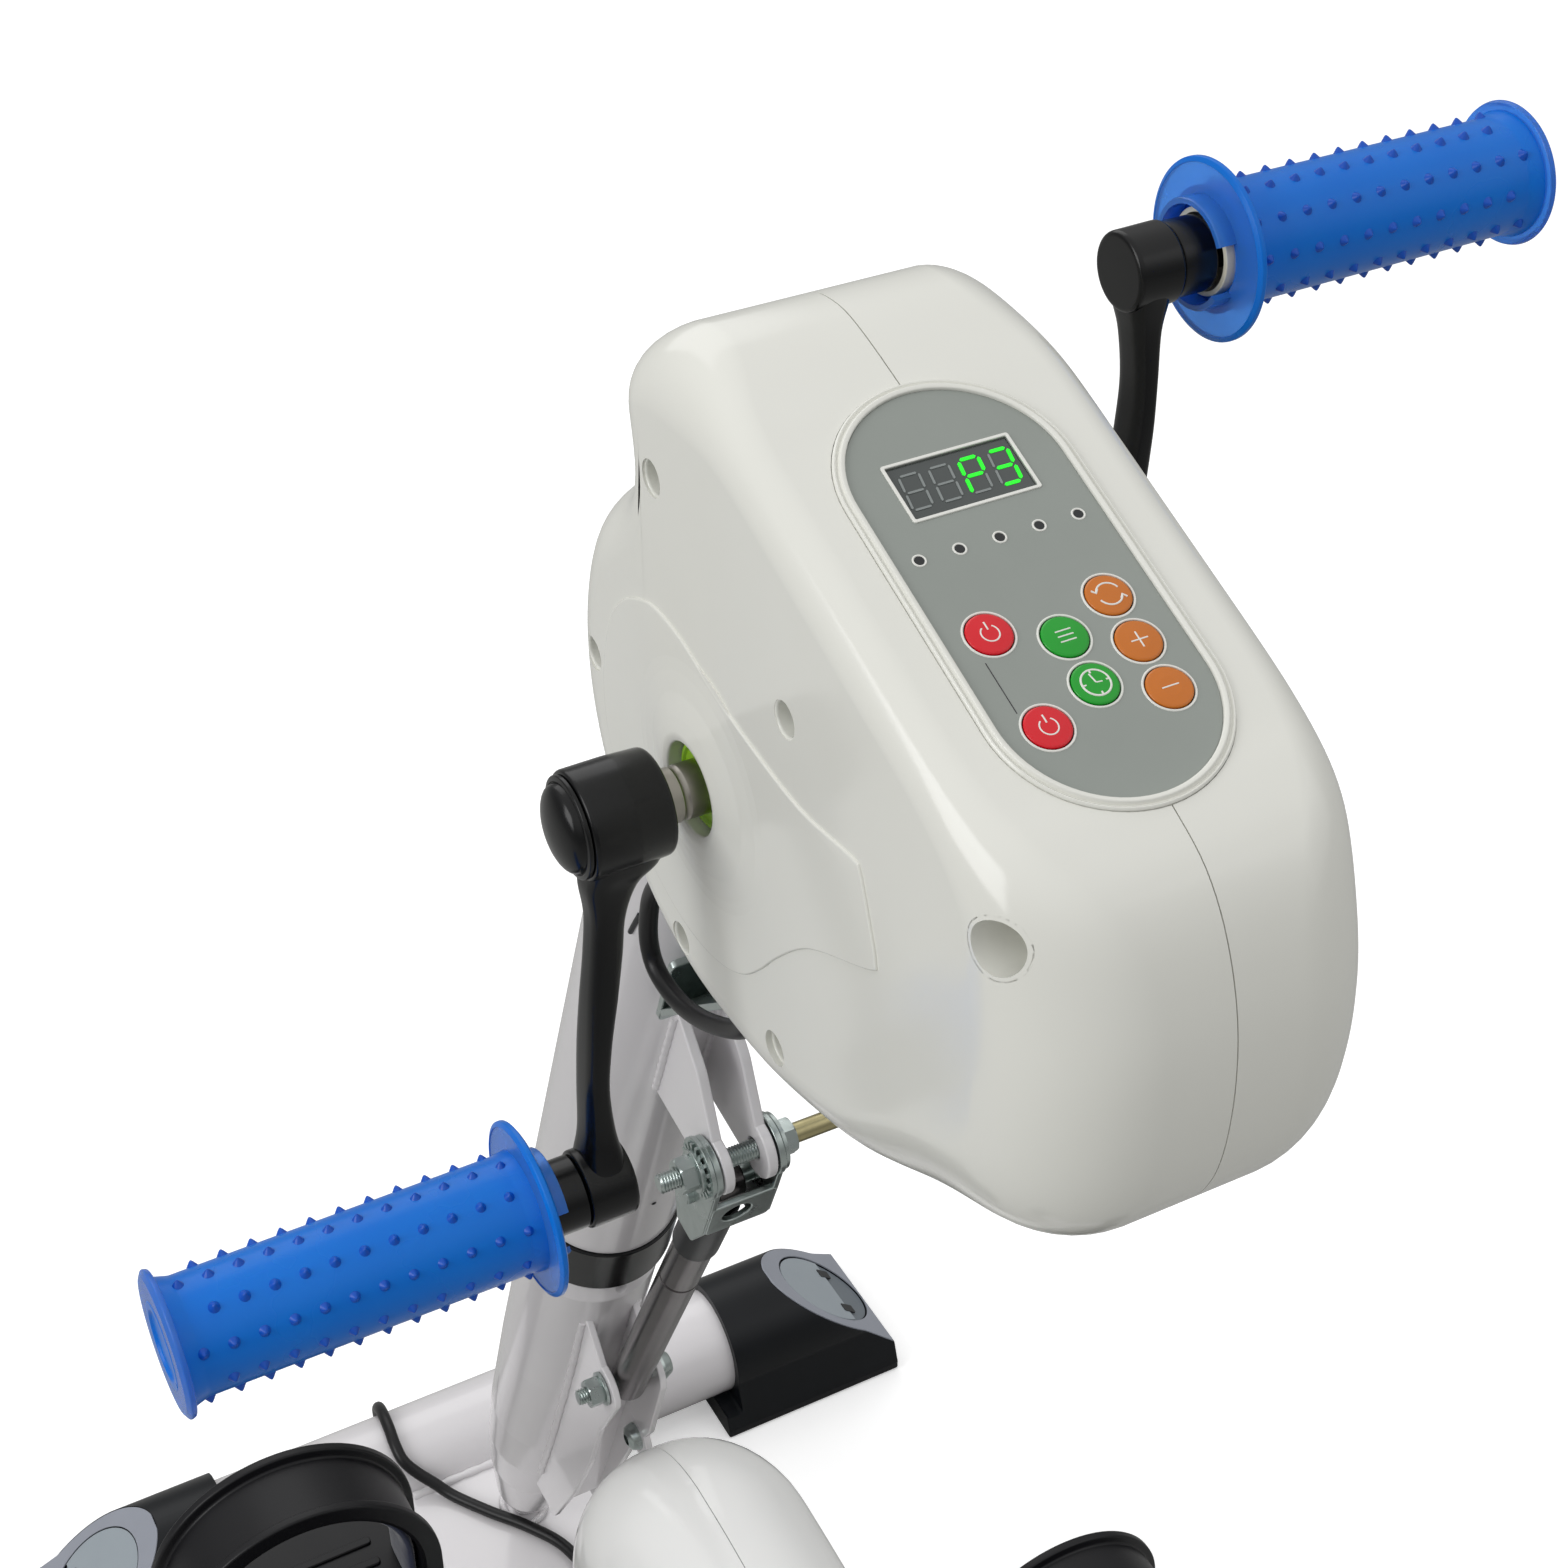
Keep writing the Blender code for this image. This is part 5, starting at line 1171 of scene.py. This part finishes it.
crankShape = {
    "reach": 0.125,
    "hub": [(0.009, 0.0726), (0.017, 0.0726, 0.002), (0.0176, 0.085, 0.02), (0.0175, 0.1, 0.0016),
            (0.0133, 0.1, 0.0004), (0.0131, 0.0968), (0.009, 0.0968)],
    "boss": [(0, 0.1), (0.0128, 0.1, 0.002), (0.013, 0.1165, 0.0012), (0, 0.1165)],
    # along the arm, out from the middle, thickness, width
    "arm": [(0.01, 0.0865, 0.0264, 0.026), (0.016, 0.0875, 0.0235, 0.0215), (0.022, 0.0915, 0.017, 0.016),
            (0.032, 0.094, 0.0115, 0.0132), (0.045, 0.0965, 0.0108, 0.013), (0.06, 0.1, 0.01, 0.014),
            (0.075, 0.1035, 0.0084, 0.015), (0.09, 0.106, 0.008, 0.0145), (0.105, 0.107, 0.01, 0.015),
            (0.114, 0.1076, 0.0135, 0.0185), (0.121, 0.1082, 0.0152, 0.0235)],
    "squareness": 0.62,
    "capX": 0.1,
    "cap": [(0, -0.0028), (0.0128, -0.0028), (0.0128, 0.0003), (0.0164, 0.0003, 0.0003), (0.0164, 0.0016, 0.0006),
            (0.0148, 0.002, 0.0003), (0.0144, 0.0014, 0.0003), (0.0141, 0.0024)],
    "dome": (0.0141, 0.0024, 0.0052),     # radius, foot, rise
    "spindle": [(0, 0.104), (0.006, 0.104), (0.006, 0.1169), (0.012, 0.1169, 0.0006),
                (0.012, 0.129, 0.001), (0.006, 0.129), (0.006, 0.245, 0.001), (0, 0.245)],
}


# Nylon crank: round hub with a domed cap, an arm that kicks out and broadens, a boss for the handle
def handCrank(side, direction, word):
    endFrame = alongX(crank + direction * crankShape["reach"], side)
    across = Vector((0, -direction.z, direction.y))
    form = spin(bmesh.new(), crankShape["hub"], alongX(crank, side), 80, closed=True)
    spin(form, crankShape["boss"], endFrame, 64)
    square = crankShape["squareness"]
    rings = []
    for along, out, thick, wide in curved(crankShape["arm"], closed=False, per=6):
        centre = beside(crank + direction * along, side * out)
        rings.append([centre + across * u + Vector((v, 0, 0))
                      for u, v in ellipse(wide / 2, thick / 2, 40, square, square)])
    loft(form, rings)
    show(f"{word}Crank", [(form, "blackNylon")], "hand_cranks", sharp=40)

    radius, foot, rise = crankShape["dome"]
    dome = [(radius * math.cos(math.radians(a)), foot + rise * math.sin(math.radians(a))) for a in range(9, 90, 9)]
    capFrame = alongX(beside(crank, side * crankShape["capX"]), side)
    cap = spin(bmesh.new(), crankShape["cap"] + dome + [(0, foot + rise)], capFrame)
    show(f"{word}CrankCap", [(cap, "blackNylon")], "hand_cranks")
    spindle = spin(bmesh.new(), crankShape["spindle"], endFrame, 64)
    show(f"{word}Spindle", [(spindle, "blackNylon")], "hand_cranks")
    handle(endFrame, word)


gripLow, gripHigh, gripRadius = 0.132, 0.252, 0.019
# Radius and height. Flange, rim and notched collar count from the grip's low end, lip and plug from its high
# end, and the others from the middle of the machine
gripShape = {
    "flange": [(0.016, 0), (0.0275, 0, 0.0006), (0.0287, 0.0012, 0.0006), (0.028, 0.0026, 0.0006),
               (0.019, 0.003)],
    "rim": [(0.0272, -0.0003, 0.0003), (0.029, 0.0006, 0.0006), (0.029, 0.0022, 0.0006),
            (0.0272, 0.0031, 0.0003)],
    "notched": [(0.0158, -0.0062), (0.0174, -0.0062), (0.0178, -0.0056), (0.0178, 0.0005), (0.0158, 0.0005)],
    "lip": [(0.014, -0.003), (0.023, -0.003, 0.0008), (0.0236, -0.0012, 0.0008), (0.0215, 0, 0.0006),
            (0.014, 0, 0.0003)],
    "plug": [(0, -0.0022), (0.0142, -0.0022), (0.0142, 0.0002, 0.0006), (0.0115, 0.0002, 0.0006),
             (0.0108, -0.0008, 0.0006), (0, -0.0008)],
    "body": [(0.013, gripLow + 0.002), (0.02, gripLow + 0.002), (0.0193, gripLow + 0.0075, 0.005),
             (gripRadius, gripHigh - 0.008, 0.005), (0.0205, gripHigh - 0.003, 0.002),
             (0.0205, gripHigh - 0.0005, 0.002), (0.013, gripHigh - 0.0005)],
    "liner": [(0.0124, gripLow - 0.0018), (0.014, gripLow - 0.0018, 0.0004), (0.014, gripHigh - 0.004),
              (0.0124, gripHigh - 0.004)],
    "stud": [(0, 0), (0.0022, 0), (0.0015, 0.0009), (0.0008, 0.0018), (0.0003, 0.0023), (0, 0.0024)],
    "studRows": 10,
    "studFirst": 0.008,
    "studPitch": 0.0094,
    "studStagger": 0.0023,
}


# Rubber grip with rows of pointed studs, thin see-through flanges, a cream liner and a notched collar
def handle(endFrame, word):
    lowEnd, highEnd = shifted(endFrame, z=gripLow), shifted(endFrame, z=gripHigh)
    rubber = spin(bmesh.new(), gripShape["body"], endFrame, 96, closed=True)
    places = []
    for row in range(gripShape["studRows"]):
        for k in range(12):
            height = gripLow + gripShape["studFirst"] + gripShape["studPitch"] * k
            height += gripShape["studStagger"] if row % 2 else 0
            if height < gripHigh - 0.008:
                places.append(shifted(endFrame @ turning(36 * row + 10, 'Z'), gripRadius - 0.0004, 0, height)
                              @ turning(90, 'Y'))
    studs = copied(bmesh.new(), spin(bmesh.new(), gripShape["stud"], Matrix.Identity(4), 12), places)
    thin = spin(bmesh.new(), gripShape["flange"], lowEnd, 96, closed=True)
    spin(thin, gripShape["lip"], highEnd, 96, closed=True)
    rim = spin(bmesh.new(), gripShape["rim"], lowEnd, 96, closed=True)
    turns = [math.radians(-60 + 10 * k) for k in range(31)]
    loft(thin, [[lowEnd @ Vector((math.cos(turn) * r, math.sin(turn) * r, z)) for r, z in gripShape["notched"]]
                for turn in turns])
    liner = spin(bmesh.new(), gripShape["liner"], endFrame, 64, closed=True)
    plug = spin(bmesh.new(), gripShape["plug"], highEnd, 64)
    # the studs take a deeper blue than the grip as painted shade
    show(f"{word}Grip", [(merged([rubber, rim, plug]), "blueGripRubber"), (studs, "shadedStudRubber"),
                         (thin, "thinBlueRubber"), (liner, "creamLiner")], f"{word}_handle", sharp=40)


shaftShape = {
    "radius": 0.00875,
    "groove": [(0.00875, 0.0644, 0.0002), (0.0084, 0.065), (0.0084, 0.0662), (0.00875, 0.0668, 0.0002)],
    "handReach": 0.095,
    "legReach": 0.0782,
    "gearBoss": [(0.0088, 0.05), (0.014, 0.05), (0.014, 0.057, 0.0006), (0.0126, 0.0574, 0.0004),
                 (0.012, 0.0564), (0.0088, 0.0564)],
}


def shafts():
    radius, groove = shaftShape["radius"], shaftShape["groove"]
    for word, axis in (("hand", crank), ("leg", legAxis)):
        half = groove + [(radius, shaftShape[word + "Reach"], 0.0006), (0, shaftShape[word + "Reach"])]
        profile = [(r, -z, *edge) for r, z, *edge in reversed(half)] + half
        parts = [(spin(bmesh.new(), profile, alongX(axis), 56), "turnedSteel")]
        if word == "hand":
            gearBoss = bmesh.new()
            for side in (-1, 1):
                spin(gearBoss, shaftShape["gearBoss"], alongX(axis, side), 56, closed=True)
            parts.append((gearBoss, "limeGearNylon"))
        show(word + "Shaft", parts, word + "_cranks")


# Leg cranks and pedals

legCrankShape = {
    "reach": 0.1,
    "hubEnd": ((0, 0), 0.0165, 70, 290, 32),
    "farEnd": ((0.1, 0), 0.013, -85, 85, 28),
    "armX": 0.078,
    "hub": [(0.0092, 0.064), (0.016, 0.064, 0.001), (0.016, 0.0835), (0.0092, 0.0835)],
    "spindle": (0.07, 0.236, 0.0065),
    "nutX": 0.084,
    "cap": [(0, 0.084), (0.009, 0.084), (0.009, 0.086, 0.0008), (0.005, 0.0868), (0, 0.0868)],
}


def legCrank(side, direction, word):
    end = legAxis + direction * legCrankShape["reach"]
    aim = Matrix.Rotation(math.atan2(direction.z, direction.y), 4, 'Z')
    stand = Matrix.Translation(beside(legAxis, side * legCrankShape["armX"])) @ sideways @ aim
    arm = plate(bmesh.new(), arc(*legCrankShape["hubEnd"]) + arc(*legCrankShape["farEnd"]), 0.012, stand, 0.0028)
    spin(arm, legCrankShape["hub"], alongX(legAxis, side), 64, closed=True)
    low, high, radius = legCrankShape["spindle"]
    steel = crossBar(bmesh.new(), end, side * low, side * high, radius)
    nut(steel, alongX(beside(end, side * legCrankShape["nutX"]), side), 0.015, 0.007)
    spin(steel, legCrankShape["cap"], alongX(legAxis, side), 48)
    show(f"{word}LegCrank", [(arm, "blackNylon"), (steel, "zincPlate")], "leg_cranks")


# Point on an inverted U: up one leg, over the arch and down the other, share from 0 to 1
def archPath(legs, low, radius, share):
    total = 2 * (legs - low) + math.pi * radius
    walked = share * total
    if walked < legs - low:
        return radius, low + walked
    if walked > total - (legs - low):
        return -radius, low + total - walked
    turn = (walked - (legs - low)) / radius
    return radius * math.cos(turn), legs + radius * math.sin(turn)


# An inverted U of the given section, (along the foot, radius) points
def archForm(bm, section, legs, low, centre, steps=72):
    rings = []
    for k in range(steps + 1):
        ring = []
        for y, radius in section:
            x, z = archPath(legs, low, radius, k / steps)
            ring.append(centre + Vector((x, y, z)))
        rings.append(ring)
    return loft(bm, rings)


def soleOutline(wide, toe, heel, corner, steps=16):
    half = wide / 2
    points = arc((half - corner, toe - corner), corner, 0, 90, steps)
    points += arc((corner - half, toe - corner), corner, 90, 180, steps)
    return points + arc((0, heel + half * 0.9), half, 188, 352, steps * 2)


pedalShape = {
    "out": 0.182,
    "outer": (0.11, 0.092, -0.118, 0.022),
    "inner": (0.103, 0.0885, -0.1145, 0.019),
    "ribs": 13,
    "ribFirst": -0.082,
    "ribPitch": 0.0125,
    "heel": [(0.055, 0.013, 0), (0.055, -0.001, 1), (0.0544, 0, 1), (0.052, 0, 1), (0.0514, -0.001, 1),
             (0.051, 0.013, 0)],        # radius, height, 1 where it is counted from the cup's top
    "heelY": -0.0685,
    "crossWall": (0.053, -0.011, 0.0125),
    "crossWallY": (-0.06, 0.05),
    "barrel": [(0.0068, -0.053), (0.0125, -0.053, 0.001), (0.0125, 0.053, 0.001), (0.0068, 0.053)],
    "arch": [(0.0306, 0.053), (0.03, 0.0545, 0.0005), (0.03, 0.0625, 0.0012), (0.0342, 0.0625, 0.0012),
             (0.035, 0.0582, 0.0015), (0.065, 0.0582, 0.0015), (0.0658, 0.0625, 0.0012),
             (0.07, 0.0625, 0.0012), (0.07, 0.0545, 0.0005), (0.0694, 0.053)],
    "archLegs": 0.0355,
    "archLow": -0.01,
    "screw": [(0, 0), (0.0042, 0, 0.0004), (0.0036, 0.002, 0.0012), (0, 0.0024)],
    "screwAt": (0.0582, 0.05, 0.004),
    "strap": (0.0138, 0.0026, 28, 0.55, 0.75),
    "strapMiddle": (0.05, 0.04975),
    "strapLow": 0.0165,
    "seamY": (0.0392, 0.0608),
    "seamRadius": 0.05215,
}


# Low wall round the heel that rises from the tread's sides
def heelCup(form, centre, steps=60):
    wall = []
    for k in range(steps + 1):
        turn = math.radians(172 + 196 * k / steps)
        ends = min(1, k / 12, (steps - k) / 12)
        top = 0.015 + 0.027 * math.sin(ends * math.pi / 2)
        wall.append([centre + Vector((radius * math.cos(turn), pedalShape["heelY"] + radius * math.sin(turn),
                                      z + top * raised)) for radius, z, raised in pedalShape["heel"]])
    loft(form, wall)


# Foot pedal: ribbed tread over the spindle barrel, a heel cup, an arch over the instep and a strap
def pedal(side, direction, word):
    centre = beside(legAxis + direction * legCrankShape["reach"], side * pedalShape["out"])
    at = Matrix.Translation(centre)
    outer = soleOutline(*pedalShape["outer"])
    form = plate(bmesh.new(), outer, 0.0265, shifted(at, z=0.0008), 0.001, [soleOutline(*pedalShape["inner"])])
    plate(form, outer, 0.0045, shifted(at, z=0.01325), 0.0014)
    ribs = [shifted(at, y=pedalShape["ribFirst"] + pedalShape["ribPitch"] * k, z=0.0159)
            for k in range(pedalShape["ribs"])]
    copied(form, plate(bmesh.new(), oblong(0.04, -0.0022, 0.0022, 0.002), 0.0016, Matrix.Identity(4), 0.0006), ribs)
    heelCup(form, centre)
    for y in pedalShape["crossWallY"]:
        plate(form, oblong(*pedalShape["crossWall"]), 0.003, shifted(at, y=y) @ turning(90, 'X'))
    spin(form, pedalShape["barrel"], alongX(centre), 56, closed=True)
    legs = pedalShape["archLegs"]
    archForm(form, rounded(pedalShape["arch"], steps=4), legs, pedalShape["archLow"], centre)
    screws = bmesh.new()
    x, y, z = pedalShape["screwAt"]
    for edge in (-1, 1):
        spin(screws, pedalShape["screw"], alongX(centre + Vector((edge * x, y, z)), edge), 32)
    show(f"{word}Pedal", [(form, "blackPolypropylene"), (screws, "zincPlate")], f"{word}_foot", sharp=35)

    middle, low = Vector(pedalShape["strapMiddle"]), pedalShape["strapLow"]
    section = [middle + Vector(p) for p in ellipse(*pedalShape["strap"])]
    strap = archForm(bmesh.new(), section, legs, low, centre, 96)
    stitches = bmesh.new()
    for y in pedalShape["seamY"]:
        for k in range(4, 92, 2):
            ends = [archPath(legs, low, pedalShape["seamRadius"], (k + shift) / 96) for shift in (0, 0.55, 1.1)]
            sweep(stitches, [centre + Vector((x, y, z)) for x, z in ends], 0.00035, 6)
    piece = show(f"{word}Strap", [(strap, "navyStrap"), (stitches, "blackInkAndShade")], f"{word}_foot", sharp=60)


# Console

consoleShape = {
    "wide": 0.072,
    "high": 0.149,
    "bezel": [(0.0, -0.002), (0.0, 0.0006, 0.0006), (-0.0006, 0.0013, 0.0004), (-0.0014, 0.0003, 0.0003),
              (-0.0021, 0.0018, 0.0006), (-0.0036, 0.0015, 0.0006), (-0.0036, -0.0014)],
    "bezelWidth": 0.0037,
    "windowDown": 0.0355,                 # from the top edge to the window's middle
    "window": (0.0193, 0.0093),           # half width and half height of the hole in the panel
    "surface": 0.00048,
    "keyHole": 0.0069,
    "keyRing": 0.0073,
    "lights": 5,
    "lightsFrom": -0.025,
    "lightsPitch": 0.0125,
    "lightsDown": 0.0575,
    "bar": (-0.0245, 0.0935, 0.1105),
    "digits": ("", "", "abefg", "abcdg"),
    "digitsFrom": -0.0142,
    "digitsPitch": 0.0094,
    "key": [(0, -0.0012), (0.0066, -0.0012), (0.0066, 0.0009, 0.0005), (0.006, 0.0012, 0.0004),
            (0.003, 0.0015, 0.001), (0, 0.0015)],
    "inkUp": 0.00128,
    "inkRadius": 0.00034,
}

buttons = {                    # finish, across the console, down from its top edge, symbol
    "powerUp": ("redKey", -0.019, 0.0856, "power"),
    "powerDown": ("redKey", -0.019, 0.1172, "power"),
    "mode": ("greenKey", 0.0, 0.0932, "mode"),
    "time": ("greenKey", 0.0, 0.1094, "clock"),
    "direction": ("orangeKey", 0.0185, 0.085, "turn"),
    "speedUp": ("orangeKey", 0.0185, 0.1011, "plus"),
    "speedDown": ("orangeKey", 0.0185, 0.1172, "minus"),
}

# Strokes of each symbol, across and up on its key; the first of the clock is a closed ring
dash = [(-0.0026, 0), (0.0026, 0)]
symbols = {
    "power": [arc((0, -0.0002), 0.0026, 125, 415, 24), [(0, 0.001), (0, 0.0036)]],
    "clock": [arc((0, 0), 0.0041, 0, 352, 44), [(-0.0006, 0.003), (0, 0)], [(0, 0), (0.0018, -0.0002)]]
             + [[(x * 0.003, y * 0.003), (x * 0.0038, y * 0.0038)] for x, y in ((1, 0), (0, 1), (-1, 0), (0, -1))],
    "turn": [arc((0, 0), 0.0036, 20, 160, 16), arc((0, 0), 0.0036, 200, 340, 16),
             [(-0.0044, 0.0024), (-0.0034, 0.0012), (-0.0024, 0.0024)],
             [(0.0024, -0.0024), (0.0034, -0.0012), (0.0044, -0.0024)]],
    "plus": [dash, [(0, -0.0026), (0, 0.0026)]],
    "minus": [dash],
    "mode": [[(-0.0024, 0.0017 * k), (0.0024, 0.0017 * k)] for k in (-1, 0, 1)],
}


# One seven-segment character: thin bars, the lit ones given by letter, into the dim and the lit form
def seven(dim, bright, place, lit, high=0.0118, wide=0.0062):
    spots = {"a": (0, 1, 90), "b": (1, 0.5, 0), "c": (1, -0.5, 0), "d": (0, -1, 90), "e": (-1, -0.5, 0),
             "f": (-1, 0.5, 0), "g": (0, 0, 90)}
    slant = Matrix(((1, math.tan(math.radians(7)), 0, 0), (0, 1, 0, 0), (0, 0, 1, 0), (0, 0, 0, 1)))
    for letter, (u, v, turn) in spots.items():
        half = (wide if turn else high / 2) * 0.42
        thick = 0.00055 if letter in lit else 0.00035
        bar = [(-thick, thick - half), (0, -half), (thick, thick - half),
               (thick, half - thick), (0, half), (-thick, half - thick)]
        at = shifted(place @ slant, u * wide / 2, v * high / 2) @ turning(turn, 'Z')
        plate(bright if letter in lit else dim, bar, 0.0002, at)


consoleTop = consoleShape["high"] / 2
windowMiddle = consoleTop - consoleShape["windowDown"]


# Outline of the window's opening, grown by a distance
def windowOutline(grown, radius=0.0):
    halfWide, halfHigh = consoleShape["window"]
    return oblong(halfWide + grown, windowMiddle - halfHigh - grown, windowMiddle + halfHigh + grown, radius)


# A ring printed on the panel
def printedRing(bm, centre, radius, end, steps, thick):
    ring = [console @ Vector((x, y, consoleShape["surface"])) for x, y in arc(centre, radius, 0, end, steps)]
    sweep(bm, ring, thick, 8, closed=True)


def consoleBezel():
    profile = rounded(consoleShape["bezel"], steps=3)
    rimLine = stadium(consoleShape["wide"], consoleShape["high"], 40)
    rings = []
    for k, (u, v) in enumerate(rimLine):
        ahead = Vector(rimLine[(k + 1) % len(rimLine)]) - Vector(rimLine[k - 1])
        out = Vector((ahead.y, -ahead.x)).normalized()
        rings.append([console @ Vector((u + out.x * p.x, v + out.y * p.x, p.y)) for p in profile])
    show("consoleBezel", [(loft(bmesh.new(), rings, closed=True), "ivoryAbs")], "mast")


# Membrane with holes for the keys and the window, and what is printed on it
def consolePanel():
    surface = consoleShape["surface"]
    spots = [(u, consoleTop - down) for _, u, down, _ in buttons.values()]
    holes = [arc(spot, consoleShape["keyHole"], 0, 350, 35) for spot in spots] + [windowOutline(0)]
    inside = 2 * consoleShape["bezelWidth"]
    panel = plate(bmesh.new(), stadium(consoleShape["wide"] - inside, consoleShape["high"] - inside, 40), 0.0014,
                  shifted(console, z=-0.0002), 0.0, holes)
    white, black = bmesh.new(), bmesh.new()
    for spot in spots:
        printedRing(white, spot, consoleShape["keyRing"], 352, 44, 0.00035)
    for k in range(consoleShape["lights"]):
        spot = (consoleShape["lightsFrom"] + consoleShape["lightsPitch"] * k,
                consoleTop - consoleShape["lightsDown"])
        printedRing(white, spot, 0.0018, 345, 23, 0.00032)
        plate(black, arc(spot, 0.0014, 0, 345, 23), 0.0003, shifted(console, z=surface))
    x, *downs = consoleShape["bar"]
    sweep(black, [console @ Vector((x, consoleTop - down, surface)) for down in downs], 0.00016, 6)
    plate(white, windowOutline(0.001, 0.001), 0.0007, shifted(console, z=0.0006), 0.0002,
          [windowOutline(0, 0.0004)])
    show("consolePanel", [(panel, "greyMembrane"), (white, "whiteInk"), (black, "blackInkAndShade")], "mast")


def displayWindow():
    glass = plate(bmesh.new(), windowOutline(-0.0003), 0.0016, shifted(console, z=-0.0008))
    dim, bright = bmesh.new(), bmesh.new()
    for k, lit in enumerate(consoleShape["digits"]):
        across = consoleShape["digitsFrom"] + consoleShape["digitsPitch"] * k
        seven(dim, bright, shifted(console, across, windowMiddle, 0.0001), lit)
    show("displayWindow", [(glass, "smokedWindow"), (dim, "dimSegment"), (bright, "litSegment")], "mast")


def consoleKeys():
    for name, (finish, u, down, kind) in buttons.items():
        at = shifted(console, u, consoleTop - down)
        face = shifted(at, z=consoleShape["inkUp"])
        key = spin(bmesh.new(), consoleShape["key"], at, 56)
        ink = bmesh.new()
        for index, stroke in enumerate(symbols[kind]):
            sweep(ink, [face @ Vector((x, y, 0)) for x, y in stroke], consoleShape["inkRadius"], 8,
                  closed=kind == "clock" and index == 0)
        show(name + "Key", [(key, finish), (ink, "whiteInk")], f"{cadName(name)}_button")
    print("console built")


# Cables

# Routes: the head's about the hand crank axis, the leg unit's in angle and X round the tube, then along the beam
headRoute = [(0.054, -0.074), (0.066, -0.09), (0.0763, -0.1055), (0.0805, -0.1186), (0.0813, -0.1309),
             (0.077, -0.1394), (0.0666, -0.1422), (0.0521, -0.1401), (0.0347, -0.1326), (0.014, -0.1191),
             (0.003, -0.108), (-0.004, -0.093)]
legWrap = [(-9, -0.05), (8, -0.0508), (24, -0.0517), (40, -0.0526), (57, -0.0537), (74, -0.0548),
           (91, -0.0558), (108, -0.0567), (124, -0.0558), (138, -0.0508)]
legFrom = [(-0.05, 0.3234, 0.0255), (-0.05, 0.3344, 0.0255)]
onTube = 0.0377                         # the cable's axis from the tube's
legTo = [(-0.0425, 0.268, 0.0078), (-0.035, 0.2575, 0.0038), (-0.0208, 0.2371, 0.0038),
         (-0.0048, 0.2165, 0.0038), (0.0085, 0.193, 0.0038), (0.014, 0.16, 0.0038), (0.016, 0.12, 0.0038),
         (0.016, 0.088, 0.0078), (0.016, 0.064, 0.0125), (0.016, 0.0365, 0.0125)]


# A PVC cable: a smooth tube along its route
def cable(name, route, body):
    radius = 0.0035
    path = curved(route, closed=False, per=8)
    piece = show(name, [(sweep(bmesh.new(), path, radius, 24), "cablePvc")], body, sharp=50)
    long = sum((b - a).length for a, b in zip(path, path[1:]))
    return long


def cables():
    route = [crank + Vector((-0.04, y, z)) for y, z in headRoute]
    long = cable("headCable", route, "mast")
    route = [Vector(p) for p in legFrom]
    for angle, x in legWrap:
        turn = math.radians(angle)
        route.append(Vector((x, tubeY + onTube * math.cos(turn), tubeZ + onTube * math.sin(turn))))
    route += [Vector((x, y, beamTop + up)) for x, y, up in legTo]
    longer = cable("legCable", route, "base")
    print("cables built, metres:", round(long, 3), round(longer, 3))


# CAD nodes whose shape stays: what can be seen of them only through openings
def keptNodes():
    kept = {
        "limeGearNylon": ("hand_gear", "leg_gear"),
        "turnedSteel": ("hand_pinion", "leg_pinion", "head_frame"),
        "motorCan": ("head_motor", "leg_motor"),
    }
    for finish, members in kept.items():
        for member in members:
            nodes[member].data.materials.clear()
            nodes[member].data.materials.append(made[finish])


buildStudio()
keptNodes()
headCasings()
legCasings()
base()
lowerPost()
lowerBracket()
gasSpring()
upperSleeve()
clampGroup()
headBracket()
handCrank(-1, -handDirection, "left")
handCrank(1, handDirection, "right")
shafts()
legCrank(-1, legDirection, "left")
legCrank(1, -legDirection, "right")
pedal(-1, legDirection, "left")
pedal(1, -legDirection, "right")
print("cranks and pedals built")
consoleBezel()
consolePanel()
displayWindow()
consoleKeys()
cables()
